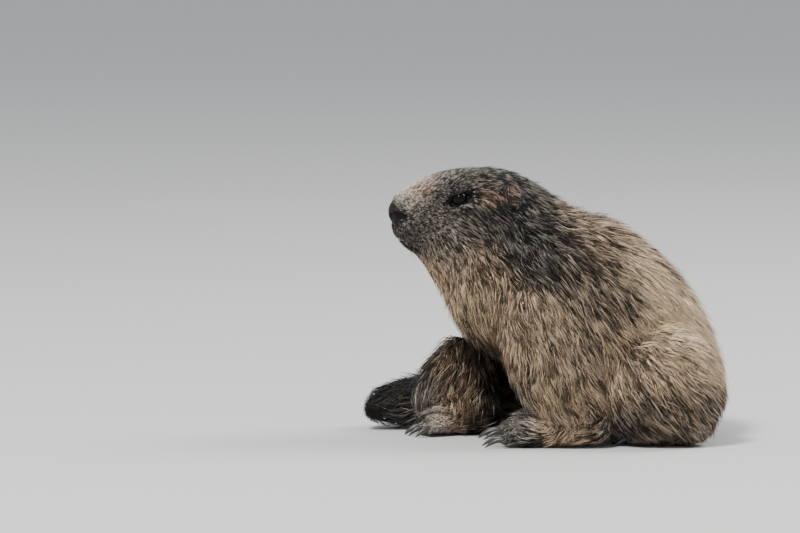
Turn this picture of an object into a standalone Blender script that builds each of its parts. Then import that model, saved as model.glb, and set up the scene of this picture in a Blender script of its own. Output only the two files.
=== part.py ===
"""A life-size alpine marmot that sits hunched, with its head raised and its tail laid forward.

Each named object is one closed solid. The nose points along -X, the animal's left side faces -Y and +Z is
up, with the floor at z = 0. The tables and sizes below are in millimetres and the meshes in metres. Every
form is given out to the tips of its coat: where the coat is long, the form is a core a little smaller than
that, which carries flat tapered locks.
"""

import math
import random

import bmesh
import bpy
import numpy as np
from mathutils import Matrix, Vector
from mathutils.bvhtree import BVHTree

MM = 0.001
GAP = 0.3
LEFT, RIGHT = -1, 1

# The trunk, from nose to rump. A row is a section that runs from the outline of the back to that of the
# throat and belly: back x and z, belly x and z, half width, and how far the body bends to its right.
TRUNK = [
    (-119, 190, -119, 175, 7, 0),
    (-116, 194, -118, 168, 11.5, 0),
    (-112, 197, -115, 162, 14.5, 0),
    (-106, 201, -111, 157, 17, 0),
    (-100, 204.5, -107, 152, 19.5, 0),
    (-92, 209, -102, 149, 23, 0),
    (-82, 212, -98, 146, 27.5, 0),
    (-71, 214.5, -95, 142, 32.5, 0),
    (-58, 216, -93, 139, 37, 0),
    (-43, 216, -91, 136, 40.5, 0),
    (-28, 214, -90, 133, 42.5, 0),
    (-13, 208, -88, 130, 43.5, 0),
    (1, 199, -86, 126, 45, 0),
    (14, 190, -82, 121, 48, 0),
    (27, 181, -77, 115, 52, 0),
    (42, 176, -73, 108, 57, 0),
    (59, 171, -69, 95, 62, 1),
    (80, 157, -57, 82, 68, 3),
    (104, 136, -32, 66, 74, 6),
    (124, 108, -6, 44, 78, 11),
    (138, 78, 22, 22, 76, 16),
    (145, 54, 58, 0, 65, 20),
    (142, 32, 92, -4, 46, 23),
    (136, 18, 117, -2, 25, 25),
]
HEAD_LAST, NECK_LAST = 11, 15
WIDEST = 0.45
SQUARE = 0.93
TRUNK_SIDES = 26
NOSE_BULGE, RUMP_BULGE = 1.5, 8

# Limb rows: x, y, z of the middle, then half width across and half depth.
LIMBS = {
    "upper_arm_left": [
        (-6, -34, 124, 18, 24),
        (-4, -46, 108, 25, 31),
        (2, -52, 86, 26, 36),
        (10, -56, 62, 25, 37),
        (20, -58, 42, 22, 31),
        (33, -58, 28, 20, 25),
    ],
    "forearm_left": [
        (44, -57, 21, 17, 19),
        (28, -59, 17, 17, 16.5),
        (14, -60, 13.5, 13, 12.5),
        (4, -61, 11, 12, 10.5),
    ],
    "upper_arm_right": [
        (-6, 48, 130, 18, 22),
        (-6, 56, 114, 24, 28),
        (0, 57, 98, 24, 29),
        (8, 52, 82, 20, 26),
    ],
    "forearm_right": [
        (36, 22, 36, 16, 19),
        (24, 12, 23, 15, 16),
        (11, 3, 15, 13, 13),
        (2, -4, 11, 11.5, 10.5),
    ],
    "hind_leg_left": [
        (63, -52, 30, 18, 25),
        (74, -53, 36, 24, 33),
        (88, -53, 43, 29, 40),
        (104, -50, 49, 31, 45),
        (119, -43, 55, 27, 41),
        (128, -37, 59, 19, 31),
    ],
    "thigh_right": [
        (84, 56, 74, 22, 28),
        (56, 68, 66, 27, 37),
        (14, 70, 61, 25, 32),
        (-20, 65, 59, 21, 26),
        (-40, 60, 61, 17, 19),
    ],
    "shank_right": [
        (-56, 52, 74, 14, 16),
        (-58, 50, 62, 20, 23),
        (-64, 45, 44, 21, 28),
        (-67, 37, 30, 21, 34),
        (-68, 33, 18, 18, 32),
    ],
}
TAIL = [
    (72, 52, 17, 12, 13),
    (46, 82, 20, 19, 18),
    (8, 96, 22, 24, 21),
    (-28, 98, 22.5, 26, 22),
    (-58, 92, 22, 26, 21.5),
    (-92, 76, 21, 24, 20.5),
    (-120, 60, 19, 20, 18),
    (-134, 52, 16, 12, 12),
]
TAIL_SPLIT = 3
LIMB_SIDES = 14
LIMB_BULGE = 8
TAILS = ("tail_root", "tail_end")
END_BULGES = {"tail_root": (LIMB_BULGE, 0), "tail_end": (0, LIMB_BULGE)}

# Paws: heel or wrist x and y, and the way the toes point, in degrees from -X towards +Y.
FOREPAW_ROWS = [
    (-2, 0, 11, 9, 7),
    (6, 0, 11, 11.5, 9.5),
    (15, 0, 11, 13.5, 9.5),
    (24, 0, 10, 14, 8.5),
    (28, 0, 9, 12, 6.5),
]
HIND_FOOT_ROWS = [
    (0, 0, 15, 8, 7),
    (9, 0, 14, 13, 13),
    (28, 0, 12, 13, 11),
    (47, 0, 10, 15, 9.5),
    (56, 0, 9, 15, 8),
]
FOREPAWS = {LEFT: (5, -61, 12), RIGHT: (3, -4, 2)}
HIND_FEET = {LEFT: (129, -51.5, 13.3), RIGHT: (-34, 26, -9)}
FORE_TOES, HIND_TOES = 4, 5
FORE_TOE_LENGTH, HIND_TOE_LENGTH = 18, 20
TOE_RADIUS = 4.6
TOE_FAN = 34
FORE_CLAW_LENGTH, HIND_CLAW_LENGTH = 15, 12
CLAW_RADIUS = 1.9

# Face.
EYE_AT = (-65, 193.5)
EYE_RADIUS = 6.4
EYE_SINK = 4.1
LID_TILT = 22
LID_RIM = 2
EAR_AT = (-25, 196.5)
EAR_SIZE = (8, 6, 12)
EAR_YAW, EAR_PITCH = 32, 14
EAR_STAND = 2.2
CUP_SIZE = (5.6, 4.6, 8.6)
CUP_OFFSET = (-1.2, 4.4, -0.8)
MOUTH_FRONT = (-114, 0, 160)
MOUTH_SIDE = [(-110, 157.5), (-104, 154.5), (-96, 151.5)]
MOUTH_GROOVE = 1.1
NOSTRIL_AT = (-114, 12, 177.5)
NOSTRIL_SIZE = (4.2, 3.4, 2.4)
NOSTRIL_LEAN = -25
NOSE_PAD_AT = (-112.5, 0, 181)
NOSE_PAD_SIZE = (9, 13.2, 11)

# Cores: how far they lie inside the coat's tips. Along the trunk the places are counted in half rows.
CORE_DEPTH, LIMB_DEPTH = 5.5, 4.5
TORSO_INSET = ((30, 31, 33), (0, 1, CORE_DEPTH))
NO_INSET = ((0,), (0,))

# Locks: length and width, the space from row to row and from lock to lock, and how much their lie turns
# down from the way along the form.
LOCKS = {
    "torso": (58, 34, 40, 37, 0.55),
    "upper_arm_left": (44, 27, 30, 31, 0.2),
    "hind_leg_left": (45, 27, 31, 32, 1.5),
    "thigh_right": (46, 28, 32, 32, 0.9),
    "shank_right": (40, 24, 26, 27, 0.3),
    "tail_root": (44, 24, 30, 28, 0),
    "tail_end": (44, 24, 28, 27, 0),
}
FIRST_ROW = 0.35
LOCK_SINK = 2.6
LOCK_THICKNESS = 3.4
LOCK_TIP = 0.4
LOCK_RINGS = [(0, 0.8, 1), (0.36, 1, 1), (0.74, 0.66, 0.62)]
FUSE_ROUNDS = 8
LOCK_STEPS = (1, 0.8, 0.62, 0.46)
LEAST_STEP = 0.72
LOCK_TURN = 13
LOCK_CLEARANCE = 0.7
LOWEST_ROOT = 14
LOWEST_TIP = 11
SEED = 41

COLOURS = {
    "coat_dark": (0.06, 0.05, 0.045),
    "coat_straw": (0.42, 0.32, 0.2),
    "coat_brown": (0.2, 0.14, 0.09),
    "leather": (0.02, 0.017, 0.016),
    "eye": (0.01, 0.008, 0.007),
    "claw": (0.05, 0.045, 0.04),
}


# Scene, materials and objects

def clear_scene():
    for obj in list(bpy.data.objects):
        bpy.data.objects.remove(obj)


def collection(name):
    made = bpy.data.collections.new(name)
    bpy.context.scene.collection.children.link(made)
    return made


def material(name, roughness):
    made = bpy.data.materials.new(name)
    made.use_nodes = True
    shader = made.node_tree.nodes["Principled BSDF"]
    shader.inputs["Base Color"].default_value = (*COLOURS[name], 1)
    shader.inputs["Roughness"].default_value = roughness
    shader.inputs["Metallic"].default_value = 0
    return made


def node(name, mesh, finish):
    obj = bpy.data.objects.new(name, mesh)
    PARTS.objects.link(obj)
    obj.data.materials.append(finish)
    return obj


def helper(name, mesh):
    """A cutter or a piece to be joined, which is no node."""
    obj = bpy.data.objects.new(name, mesh)
    CUTTERS.objects.link(obj)
    obj.hide_render = True
    obj.display_type = "WIRE"
    return obj


def evaluated_mesh(obj):
    bpy.context.view_layer.update()
    graph = bpy.context.evaluated_depsgraph_get()
    return bpy.data.meshes.new_from_object(obj.evaluated_get(graph))


def boolean(obj, operation, others):
    """Joins or cuts with all the others at once, and removes them."""
    if not others:
        return
    group = bpy.data.collections.new("operands")
    for other in others:
        group.objects.link(other)
    step = obj.modifiers.new(operation.lower(), "BOOLEAN")
    step.operation = operation
    step.solver = "EXACT"
    step.operand_type = "COLLECTION"
    step.collection = group
    made = evaluated_mesh(obj)
    obj.modifiers.clear()
    obj.data = made
    for other in others:
        bpy.data.objects.remove(other)
    bpy.data.collections.remove(group)


def keep_largest(obj):
    """Leaves only the largest closed surface of the node."""
    edit = bmesh.new()
    edit.from_mesh(obj.data)
    bmesh.ops.remove_doubles(edit, verts=edit.verts, dist=0.000001)
    left = set(edit.verts)
    islands = []
    while left:
        found = {left.pop()}
        front = list(found)
        while front:
            vert = front.pop()
            for edge in vert.link_edges:
                other = edge.other_vert(vert)
                if other in left:
                    left.discard(other)
                    found.add(other)
                    front.append(other)
        islands.append(found)
    islands.sort(key=len)
    for island in islands[:-1]:
        bmesh.ops.delete(edit, geom=list(island), context="VERTS")
    edit.to_mesh(obj.data)
    edit.free()


# Forms

def smooth_rows(rows, steps):
    """The rows and those between them on a smooth curve, with this many steps from row to row."""
    rows = np.array(rows, float)
    ends = np.vstack([2 * rows[0] - rows[1], rows, 2 * rows[-1] - rows[-2]])
    made = []
    for a, b, c, d in zip(ends, ends[1:], ends[2:], ends[3:]):
        for t in np.arange(steps) / steps:
            bend = (2 * a - 5 * b + 4 * c - d) * t**2 + (3 * b - a - 3 * c + d) * t**3
            made.append((2 * b + (c - a) * t + bend) / 2)
    return np.array(made + [rows[-1]])


def rounded(value, power):
    return np.sign(value) * np.abs(value) ** power


def trunk_ring(row, swell=0):
    """One section of the trunk: an oval that is widest below its middle, grown on all sides by swell."""
    back_x, back_z, belly_x, belly_z, half_width, bend = row
    belly = np.array([belly_x, bend, belly_z])
    rise = np.array([back_x, bend, back_z]) - belly
    height = np.linalg.norm(rise)
    up = rise / height
    turn = np.linspace(0, 2 * math.pi, TRUNK_SIDES, endpoint=False)
    high = rounded(np.sin(turn), SQUARE)
    reach = np.where(high > 0, (1 - WIDEST) * height, WIDEST * height) + swell
    middle = belly + up * height * WIDEST
    across = rounded(np.cos(turn), SQUARE) * (half_width + swell)
    return middle + np.outer(high * reach, up) + np.outer(across, (0, 1, 0))


def trunk_rings(first, last, inset, grow=0):
    """Rings of a stretch of the trunk, drawn in where locks cover it, and grown on all sides by grow."""
    rows = smooth_rows(TRUNK, 2)
    return [trunk_ring(rows[i], grow - np.interp(i, *inset)) for i in range(2 * first, 2 * last + 1)]


def path_rings(rows, sides, steps, swell=0):
    """Oval rings square to the smooth path of a limb, wide across it and deep up and down."""
    path = smooth_rows(rows, steps)
    centres = path[:, :3]
    ways = np.gradient(centres, axis=0)
    turn = np.linspace(0, 2 * math.pi, sides, endpoint=False)
    rings = []
    for centre, way, half_width, half_depth in zip(centres, ways, path[:, 3], path[:, 4]):
        way = way / np.linalg.norm(way)
        side = np.array((0.0, 1.0, 0.0)) - way * way[1]
        side /= np.linalg.norm(side)
        wide = np.outer(np.cos(turn) * (half_width + swell), side)
        deep = np.outer(np.sin(turn) * (half_depth + swell), np.cross(way, side))
        rings.append(centre + wide + deep)
    return rings


def stepped_off(rings):
    """The same rings, with the first one moved along by the gap."""
    ahead = rings[1].mean(axis=0) - rings[0].mean(axis=0)
    return [rings[0] + ahead / np.linalg.norm(ahead) * GAP * 1.3] + rings[1:]


def limb_rings(name, swell=0):
    """The rings of a limb, of the whole tail, or of one of the tail's two lengths."""
    if name in LIMBS:
        return path_rings(LIMBS[name], LIMB_SIDES, 2, swell)
    rings = path_rings(TAIL, LIMB_SIDES, 2, swell)
    if name == "tail_root":
        return rings[: 2 * TAIL_SPLIT + 1]
    if name == "tail_end":
        return stepped_off(rings[2 * TAIL_SPLIT :])
    return rings


def mesh_from(name, points, faces):
    mesh = bpy.data.meshes.new(name)
    mesh.from_pydata([tuple(p) for p in np.array(points) * MM], [], faces)
    edit = bmesh.new()
    edit.from_mesh(mesh)
    bmesh.ops.recalc_face_normals(edit, faces=edit.faces)
    edit.to_mesh(mesh)
    edit.free()
    return mesh


def rounded_end(ring, before, bulge):
    """Two smaller rings that round the end of a loft off, and the tip beyond them."""
    middle = ring.mean(axis=0)
    way = middle - before.mean(axis=0)
    way = way / np.linalg.norm(way) * bulge
    rings = [
        middle + way * math.sin(turn) + (ring - middle) * math.cos(turn)
        for turn in (math.radians(38), math.radians(68))
    ]
    return rings if bulge else [], middle + way


def loft(name, rings, front=0, back=0):
    """A closed mesh through the rings. Each end is flat, or rounded as far out as front or back."""
    ahead, front_tip = rounded_end(rings[0], rings[1], front)
    behind, back_tip = rounded_end(rings[-1], rings[-2], back)
    rings = ahead[::-1] + list(rings) + behind
    sides = len(rings[0])
    points = np.vstack(rings + [front_tip, back_tip])
    last = (len(rings) - 1) * sides
    faces = []
    for s in range(sides):
        t = (s + 1) % sides
        faces.append((t, s, last + sides))
        faces.append((last + s, last + t, last + sides + 1))
        for r in range(0, last, sides):
            faces += [(r + s, r + t, r + t + sides), (r + s, r + t + sides, r + s + sides)]
    return mesh_from(name, points, faces)


def trunk_mesh(swell):
    rings = trunk_rings(0, len(TRUNK) - 1, NO_INSET, swell)
    return loft("trunk", rings, NOSE_BULGE + swell, RUMP_BULGE + swell)


def torso_core_mesh(grow):
    """The trunk with the torso's core behind the neck, grown by grow."""
    rings = trunk_rings(0, len(TRUNK) - 1, TORSO_INSET, grow)
    return loft("torso_core", rings, NOSE_BULGE + grow, RUMP_BULGE - CORE_DEPTH / 2 + grow)


def limb_mesh(name, swell=0):
    bulges = END_BULGES.get(name, (LIMB_BULGE, LIMB_BULGE))
    return loft(name, limb_rings(name, swell), *[bulge + swell if bulge else 0 for bulge in bulges])


def core_depth(name):
    return LIMB_DEPTH if name in LOCKS or name == "tail" else 0


def room_for(name):
    """A limb's core grown by the gap, which makes room for it in its neighbour."""
    return helper("room", limb_mesh(name, GAP - core_depth(name)))


def ellipsoid(name, centre, radii, segments=14, rows=9, turn=Matrix()):
    edit = bmesh.new()
    bmesh.ops.create_uvsphere(edit, u_segments=segments, v_segments=rows, radius=1)
    size = Matrix.Diagonal((*(r * MM for r in radii), 1))
    place = Matrix.Translation(Vector(centre) * MM)
    bmesh.ops.transform(edit, matrix=place @ turn @ size, verts=edit.verts)
    mesh = bpy.data.meshes.new(name)
    edit.to_mesh(mesh)
    edit.free()
    return mesh


def floor_cutter():
    """A slab under the floor, so that what rests on it ends in a small flat."""
    edit = bmesh.new()
    bmesh.ops.create_cube(edit, size=1)
    bmesh.ops.transform(edit, matrix=Matrix.Translation((0, 0, -0.5)), verts=edit.verts)
    mesh = bpy.data.meshes.new("floor_cutter")
    edit.to_mesh(mesh)
    edit.free()
    return helper("floor_cutter", mesh)


def tree_of(mesh):
    return BVHTree.FromPolygons([v.co for v in mesh.vertices], [p.vertices for p in mesh.polygons])


def side_of_trunk(x, z, side):
    """The y of the trunk's surface where a line along Y at x and z meets it."""
    start = Vector((x * MM, side * 0.5, z * MM))
    return OUTER["trunk"].ray_cast(start, Vector((0, -side, 0)))[0].y / MM


# Locks

def lock_roots(rings, row_space, lock_space, drawn):
    """Roots and ways along the form, in staggered rows that go round its rings."""
    rings = np.array(rings)
    steps = np.linalg.norm(np.diff(rings.mean(axis=1), axis=0), axis=1)
    travelled = np.concatenate([[0], np.cumsum(steps)])
    sides = rings.shape[1]
    for count, at in enumerate(np.arange(row_space * FIRST_ROW, travelled[-1], row_space)):
        r = min(np.searchsorted(travelled, at, "right"), len(travelled) - 1)
        share = (at - travelled[r - 1]) / (travelled[r] - travelled[r - 1])
        ring = rings[r - 1] * (1 - share) + rings[r] * share
        girth = np.linalg.norm(np.roll(ring, -1, axis=0) - ring, axis=1).sum()
        locks = max(3, round(girth / lock_space))
        for lock in range(locks):
            turn = (lock + 0.5 * (count % 2) + drawn.uniform(-0.12, 0.12)) / locks * sides
            s = int(turn) % sides
            part = turn % 1
            root = ring[s] * (1 - part) + ring[(s + 1) % sides] * part
            ahead = (rings[r] - rings[r - 1])[s]
            yield Vector(root), Vector(ahead / np.linalg.norm(ahead))


def laid_lock(core, root, lie, length, width, depth):
    """Points of a flat tapered lock that follows the core and rises to the coat's outer surface.

    There are none where the core ends before the lock does.
    """
    place, normal, _, _ = core.find_nearest(root * MM)
    way = (lie - normal * lie.dot(normal)).normalized()
    gone = 0
    points = []
    for share, wide, thick in LOCK_RINGS + [(1, 0, 0)]:
        step = (share - gone) * length * MM
        before = place
        place, normal, _, _ = core.find_nearest(place + way * step)
        if (place - before).length < step * LEAST_STEP:
            return []
        way = (way - normal * way.dot(normal)).normalized()
        gone = share
        height = -LOCK_SINK + (depth + LOCK_SINK - LOCK_TIP) * share**0.8
        middle = place / MM + normal * height
        if not wide:
            points.append(middle)
            continue
        across = normal.cross(way) * (width * wide / 2)
        for side in (-1, 1):
            edge, tilt, _, _ = core.find_nearest((middle + across * side) * MM)
            points.append(edge / MM + tilt * (height - 0.3 * LOCK_THICKNESS))
        points.append(middle + normal * LOCK_THICKNESS * thick / 2)
        points.append(middle - normal * LOCK_THICKNESS * thick / 2)
    return points


def lock_mesh(points):
    order = (0, 2, 1, 3)
    faces = [(0, 2, 1), (0, 1, 3)]
    for ring in range(len(LOCK_RINGS)):
        for a, b in zip(order, order[1:] + order[:1]):
            a, b = ring * 4 + a, ring * 4 + b
            if ring + 1 < len(LOCK_RINGS):
                faces += [(a, b, b + 4), (a, b + 4, a + 4)]
            else:
                faces.append((a, b, len(points) - 1))
    return mesh_from("lock", points, faces)


def flat_end(ring, beyond):
    """The plane of a flat end: its middle and the way to the ring next to it."""
    middle = ring.mean(axis=0)
    return Vector(middle), Vector(beyond.mean(axis=0) - middle).normalized()


def stays_clear(points, others, ends):
    """Whether the lock keeps off the floor, every other form and the flat ends, tested along its length."""
    tests = list(points)
    for a, b in zip(points, points[4:]):
        tests += [a.lerp(b, 0.33), a.lerp(b, 0.67)]
    for point in tests:
        if point.z < LOWEST_TIP or any((point - middle).dot(way) < LOCK_CLEARANCE for middle, way in ends):
            return False
        for other in others:
            place, normal, _, _ = other.find_nearest(point * MM)
            if (point * MM - place).dot(normal) < LOCK_CLEARANCE * MM:
                return False
    return True


def locks_on(name, rings, core, others, depth, ends=()):
    """The locks of one form. One that would meet another form is made shorter, or left out."""
    length, width, row_space, lock_space, droop = LOCKS[name]
    drawn = random.Random(f"{SEED} {name}")
    made = []
    for root, ahead in lock_roots(rings, row_space, lock_space, drawn):
        long = length * drawn.uniform(0.88, 1.12)
        wide = width * drawn.uniform(0.9, 1.1)
        turn = Matrix.Rotation(math.radians(drawn.uniform(-LOCK_TURN, LOCK_TURN)), 3, "Y")
        lie = turn @ (ahead + Vector((0, 0, -droop))).normalized()
        if root.z < LOWEST_ROOT:
            continue
        for shorter in LOCK_STEPS:
            points = laid_lock(core, root, lie, long * shorter, wide, depth)
            if points and stays_clear(points, others, ends):
                made.append(points)
                break
    return made


def touching_places(mesh):
    """Middles of the edges where more or fewer than two faces meet."""
    edit = bmesh.new()
    edit.from_mesh(mesh)
    places = [(e.verts[0].co + e.verts[1].co) / 2 / MM for e in edit.edges if len(e.link_faces) != 2]
    edit.free()
    return places


def fuse_locks(obj, locks):
    """Joins the locks to their core, without those that would leave it touching itself along an edge."""
    core = obj.data
    for _ in range(FUSE_ROUNDS):
        obj.data = core
        boolean(obj, "UNION", [helper("lock", lock_mesh(points)) for points in locks])
        places = touching_places(obj.data)
        if not places:
            return
        for place in places:
            nearest = min(locks, key=lambda points: min((point - place).length for point in points))
            locks = [points for points in locks if points is not nearest]
    obj.data = core


def other_forms(*names):
    """The outer surfaces of all the forms but these."""
    return [tree for name, tree in OUTER.items() if name not in names]


# Head

def lid_ring(centre, side):
    """The almond rim of both lids, round the eye and raised from the cheek."""
    turn = Matrix.Rotation(math.radians(-LID_TILT), 4, "Y")
    ahead = Vector((0, side, 0))
    around, over = 14, 6
    points, faces = [], []
    for a in range(around):
        angle = 2 * math.pi * a / around
        open_share = abs(math.sin(angle))
        height = EYE_RADIUS - 0.4 - 0.4 * open_share
        middle = Vector((math.cos(angle) * (EYE_RADIUS + 2.6), 0, math.sin(angle) * height))
        outward = middle.normalized()
        seat = ahead * (0.3 + 1.6 * open_share)
        for o in range(over):
            roll = 2 * math.pi * o / over
            rim = (outward * math.cos(roll) + ahead * math.sin(roll)) * LID_RIM
            points.append(Vector(centre) + turn @ (middle + seat + rim))
    for a in range(around):
        for o in range(over):
            n, m = (a + 1) % around, (o + 1) % over
            faces.append((a * over + o, a * over + m, n * over + m, n * over + o))
    return mesh_from("lid", points, faces)


def mouth_mesh():
    """A round groove along the lips, from one corner of the mouth round the front to the other."""
    route = [(x, side_of_trunk(x, z, LEFT), z) for x, z in reversed(MOUTH_SIDE)]
    route.append(MOUTH_FRONT)
    route += [(x, side_of_trunk(x, z, RIGHT), z) for x, z in MOUTH_SIDE]
    curve = bpy.data.curves.new("mouth", "CURVE")
    curve.dimensions = "3D"
    curve.bevel_depth = MOUTH_GROOVE * MM
    curve.bevel_resolution = 1
    curve.resolution_u = 2
    curve.use_fill_caps = True
    spline = curve.splines.new("NURBS")
    spline.points.add(len(route) - 1)
    for point, place in zip(spline.points, route):
        point.co = (*(Vector(place) * MM), 1)
    spline.use_endpoint_u = True
    spline.order_u = 3
    guide = helper("mouth_guide", curve)
    mesh = evaluated_mesh(guide)
    bpy.data.objects.remove(guide)
    edit = bmesh.new()
    edit.from_mesh(mesh)
    bmesh.ops.remove_doubles(edit, verts=edit.verts, dist=0.00001)
    edit.to_mesh(mesh)
    edit.free()
    return mesh


def build_head():
    head = node("head", loft("head", trunk_rings(0, HEAD_LAST, NO_INSET), NOSE_BULGE), DARK)
    lids, cuts = [], []
    for side, name in ((LEFT, "eye_left"), (RIGHT, "eye_right")):
        x, z = EYE_AT
        centre = (x, side_of_trunk(x, z, side) - side * EYE_SINK, z)
        lids.append(helper("lid", lid_ring(centre, side)))
        cuts.append(helper("socket", ellipsoid("socket", centre, [EYE_RADIUS + GAP] * 3)))
        node(name, ellipsoid(name, centre, [EYE_RADIUS] * 3), EYE)
    boolean(head, "UNION", lids)
    cuts.append(helper("mouth_groove", mouth_mesh()))
    grown = [size + GAP for size in NOSE_PAD_SIZE]
    cuts.append(helper("nose_room", ellipsoid("nose_room", NOSE_PAD_AT, grown)))
    boolean(head, "DIFFERENCE", cuts)
    keep_largest(head)


def build_nose():
    nose = node("nose", ellipsoid("nose", NOSE_PAD_AT, NOSE_PAD_SIZE), LEATHER)
    nostrils = []
    for side in (LEFT, RIGHT):
        place = (NOSTRIL_AT[0], side * NOSTRIL_AT[1], NOSTRIL_AT[2])
        lean = Matrix.Rotation(math.radians(NOSTRIL_LEAN), 4, "Y")
        nostrils.append(helper("nostril", ellipsoid("nostril", place, NOSTRIL_SIZE, 10, 8, lean)))
    boolean(nose, "DIFFERENCE", nostrils)
    keep_largest(nose)


def build_ear(name, side):
    """A small rounded ear: a cup that opens outward and forward, with its foot in the coat."""
    x, z = EAR_AT
    centre = Vector((x, side_of_trunk(x, z, side) + side * EAR_STAND, z))
    turn = Matrix.Rotation(math.radians(side * EAR_YAW), 4, "Z")
    turn = turn @ Matrix.Rotation(math.radians(EAR_PITCH), 4, "Y")
    ear = node(name, ellipsoid(name, centre, EAR_SIZE, 16, 11, turn), DARK)
    ahead, out, up = CUP_OFFSET
    opening = centre + turn.to_3x3() @ Vector((ahead, side * out, up))
    boolean(ear, "DIFFERENCE", [helper("ear_cup", ellipsoid("ear_cup", opening, CUP_SIZE, 12, 8, turn))])
    boolean(ear, "DIFFERENCE", [helper("skull", trunk_mesh(GAP))])
    keep_largest(ear)


# Trunk and limbs

def build_neck():
    node("neck", loft("neck", stepped_off(trunk_rings(HEAD_LAST, NECK_LAST, NO_INSET))), STRAW)


def build_torso():
    rings = stepped_off(trunk_rings(NECK_LAST, len(TRUNK) - 1, TORSO_INSET))
    mesh = loft("torso", rings, 0, RUMP_BULGE - CORE_DEPTH / 2)
    torso = node("torso", mesh, STRAW)
    ends = [flat_end(rings[0], rings[1])]
    locks = locks_on("torso", rings, tree_of(mesh), other_forms("trunk"), CORE_DEPTH, ends)
    fuse_locks(torso, locks)
    boolean(torso, "DIFFERENCE", [floor_cutter()])
    keep_largest(torso)


def build_limb(name, finish, met=(), on_trunk=True):
    """A limb, cut to meet the forms it grows from or lies against, with its locks where it has them."""
    depth = core_depth(name)
    mesh = limb_mesh(name, -depth)
    limb = node(name, mesh, finish)
    if name in LOCKS:
        rings = limb_rings(name, -depth)
        ends = []
        if name == "tail_root":
            ends.append(flat_end(rings[-1], rings[-2]))
        if name == "tail_end":
            ends.append(flat_end(rings[0], rings[1]))
        fuse_locks(limb, locks_on(name, rings, tree_of(mesh), other_forms(name, *TAILS), depth, ends))
    cuts = [room_for(other) for other in met]
    if on_trunk:
        cuts.append(helper("trunk_room", torso_core_mesh(GAP)))
    for cut in cuts + [floor_cutter()]:
        boolean(limb, "DIFFERENCE", [cut])
    keep_largest(limb)


# Paws

def in_foot_frame(rows, heel, degrees):
    """Rows given along a foot, set down at its heel and turned the way it points."""
    x, y = heel
    way = math.radians(degrees)
    made = []
    for along, out, high, *sizes in rows:
        ahead = -math.cos(way) * along - math.sin(way) * out
        aside = math.sin(way) * along - math.cos(way) * out
        made.append((x + ahead, y + aside, high, *sizes))
    return made


def toe_paths(rows, place, toes, toe_length, claw_length):
    """The rows of each toe and of its claw, fanned out from the front of the palm."""
    x, y, degrees = place
    front, width = rows[-2][0], rows[-2][3]
    thick = TOE_RADIUS
    for toe in range(toes):
        spread = (toe + 0.5) / toes - 0.5
        reach = toe_length * (1 - 0.9 * spread**2)
        start = (front - 4 - 14 * spread**2, spread * 2 * (width - 1), 0)
        root = in_foot_frame([start], (x, y), degrees)[0][:2]
        way = degrees - spread * TOE_FAN
        toe_rows = [
            (0, 0, 9, thick * 0.9, thick),
            (reach * 0.45, 0, 9.4, thick, thick * 1.1),
            (reach * 0.8, 0, 7, thick * 0.95, thick),
            (reach, 0, 5, thick * 0.8, thick * 0.85),
        ]
        claw_rows = [
            (reach - 4, 0, 6.6, CLAW_RADIUS * 0.9, CLAW_RADIUS * 1.1),
            (reach + claw_length * 0.3, 0, 6.4, CLAW_RADIUS * 0.8, CLAW_RADIUS),
            (reach + claw_length * 0.7, 0, 4, CLAW_RADIUS * 0.55, CLAW_RADIUS * 0.7),
            (reach + claw_length, 0, 0.9, 0.3, 0.35),
        ]
        yield in_foot_frame(toe_rows, root, way), in_foot_frame(claw_rows, root, way)


def build_paw(name, place, rows, toes, toe_length, claw_length, met):
    """A palm or sole with its toes fused on, and each claw a piece of its own in a socket."""
    x, y, degrees = place
    palm = path_rings(in_foot_frame(rows, (x, y), degrees), 12, 1)
    paw = node(name, loft(name, palm, 5, 2), DARK)
    fused, sockets = [], []
    paths = toe_paths(rows, place, toes, toe_length, claw_length)
    for count, (toe_rows, claw_rows) in enumerate(paths, 1):
        fused.append(helper("toe", loft("toe", path_rings(toe_rows, 7, 1), 0, 3)))
        claw_name = f"claw_{name}_{count}"
        node(claw_name, loft(claw_name, path_rings(claw_rows, 6, 1)), CLAW)
        grown = path_rings(claw_rows, 6, 1, GAP * 1.3)
        sockets.append(helper("socket", loft("socket", grown, 0.6)))
    boolean(paw, "UNION", fused)
    cuts = [room_for(other) for other in met]
    for cut in cuts + [helper("trunk_room", trunk_mesh(GAP)), floor_cutter()]:
        boolean(paw, "DIFFERENCE", [cut])
    boolean(paw, "DIFFERENCE", sockets)
    keep_largest(paw)


def paw_tree(rows, place):
    """A paw's rough outer surface, which locks stay clear of."""
    x, y, degrees = place
    reaching = rows[:-1] + [(rows[-1][0] + 24, *rows[-2][1:])]
    return tree_of(loft("paw_form", path_rings(in_foot_frame(reaching, (x, y), degrees), 12, 1), 4, 4))


def stand_on_origin():
    """Moves the whole animal so that the middle of its box's underside is the origin."""
    corners = np.array([v.co for obj in PARTS.objects for v in obj.data.vertices])
    low, high = corners.min(axis=0), corners.max(axis=0)
    shift = Matrix.Translation((-(low[0] + high[0]) / 2, -(low[1] + high[1]) / 2, -low[2]))
    for obj in PARTS.objects:
        obj.data.transform(shift)


clear_scene()
PARTS = collection("marmot")
CUTTERS = collection("cutters")
DARK = material("coat_dark", 0.8)
STRAW = material("coat_straw", 0.8)
BROWN = material("coat_brown", 0.8)
LEATHER = material("leather", 0.45)
EYE = material("eye", 0.08)
CLAW = material("claw", 0.4)

OUTER = {"trunk": tree_of(trunk_mesh(0))}
for limb_name in (*LIMBS, *TAILS):
    OUTER[limb_name] = tree_of(limb_mesh(limb_name))
for paw_side in (LEFT, RIGHT):
    OUTER[f"forepaw {paw_side}"] = paw_tree(FOREPAW_ROWS, FOREPAWS[paw_side])
    OUTER[f"hind foot {paw_side}"] = paw_tree(HIND_FOOT_ROWS, HIND_FEET[paw_side])

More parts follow.
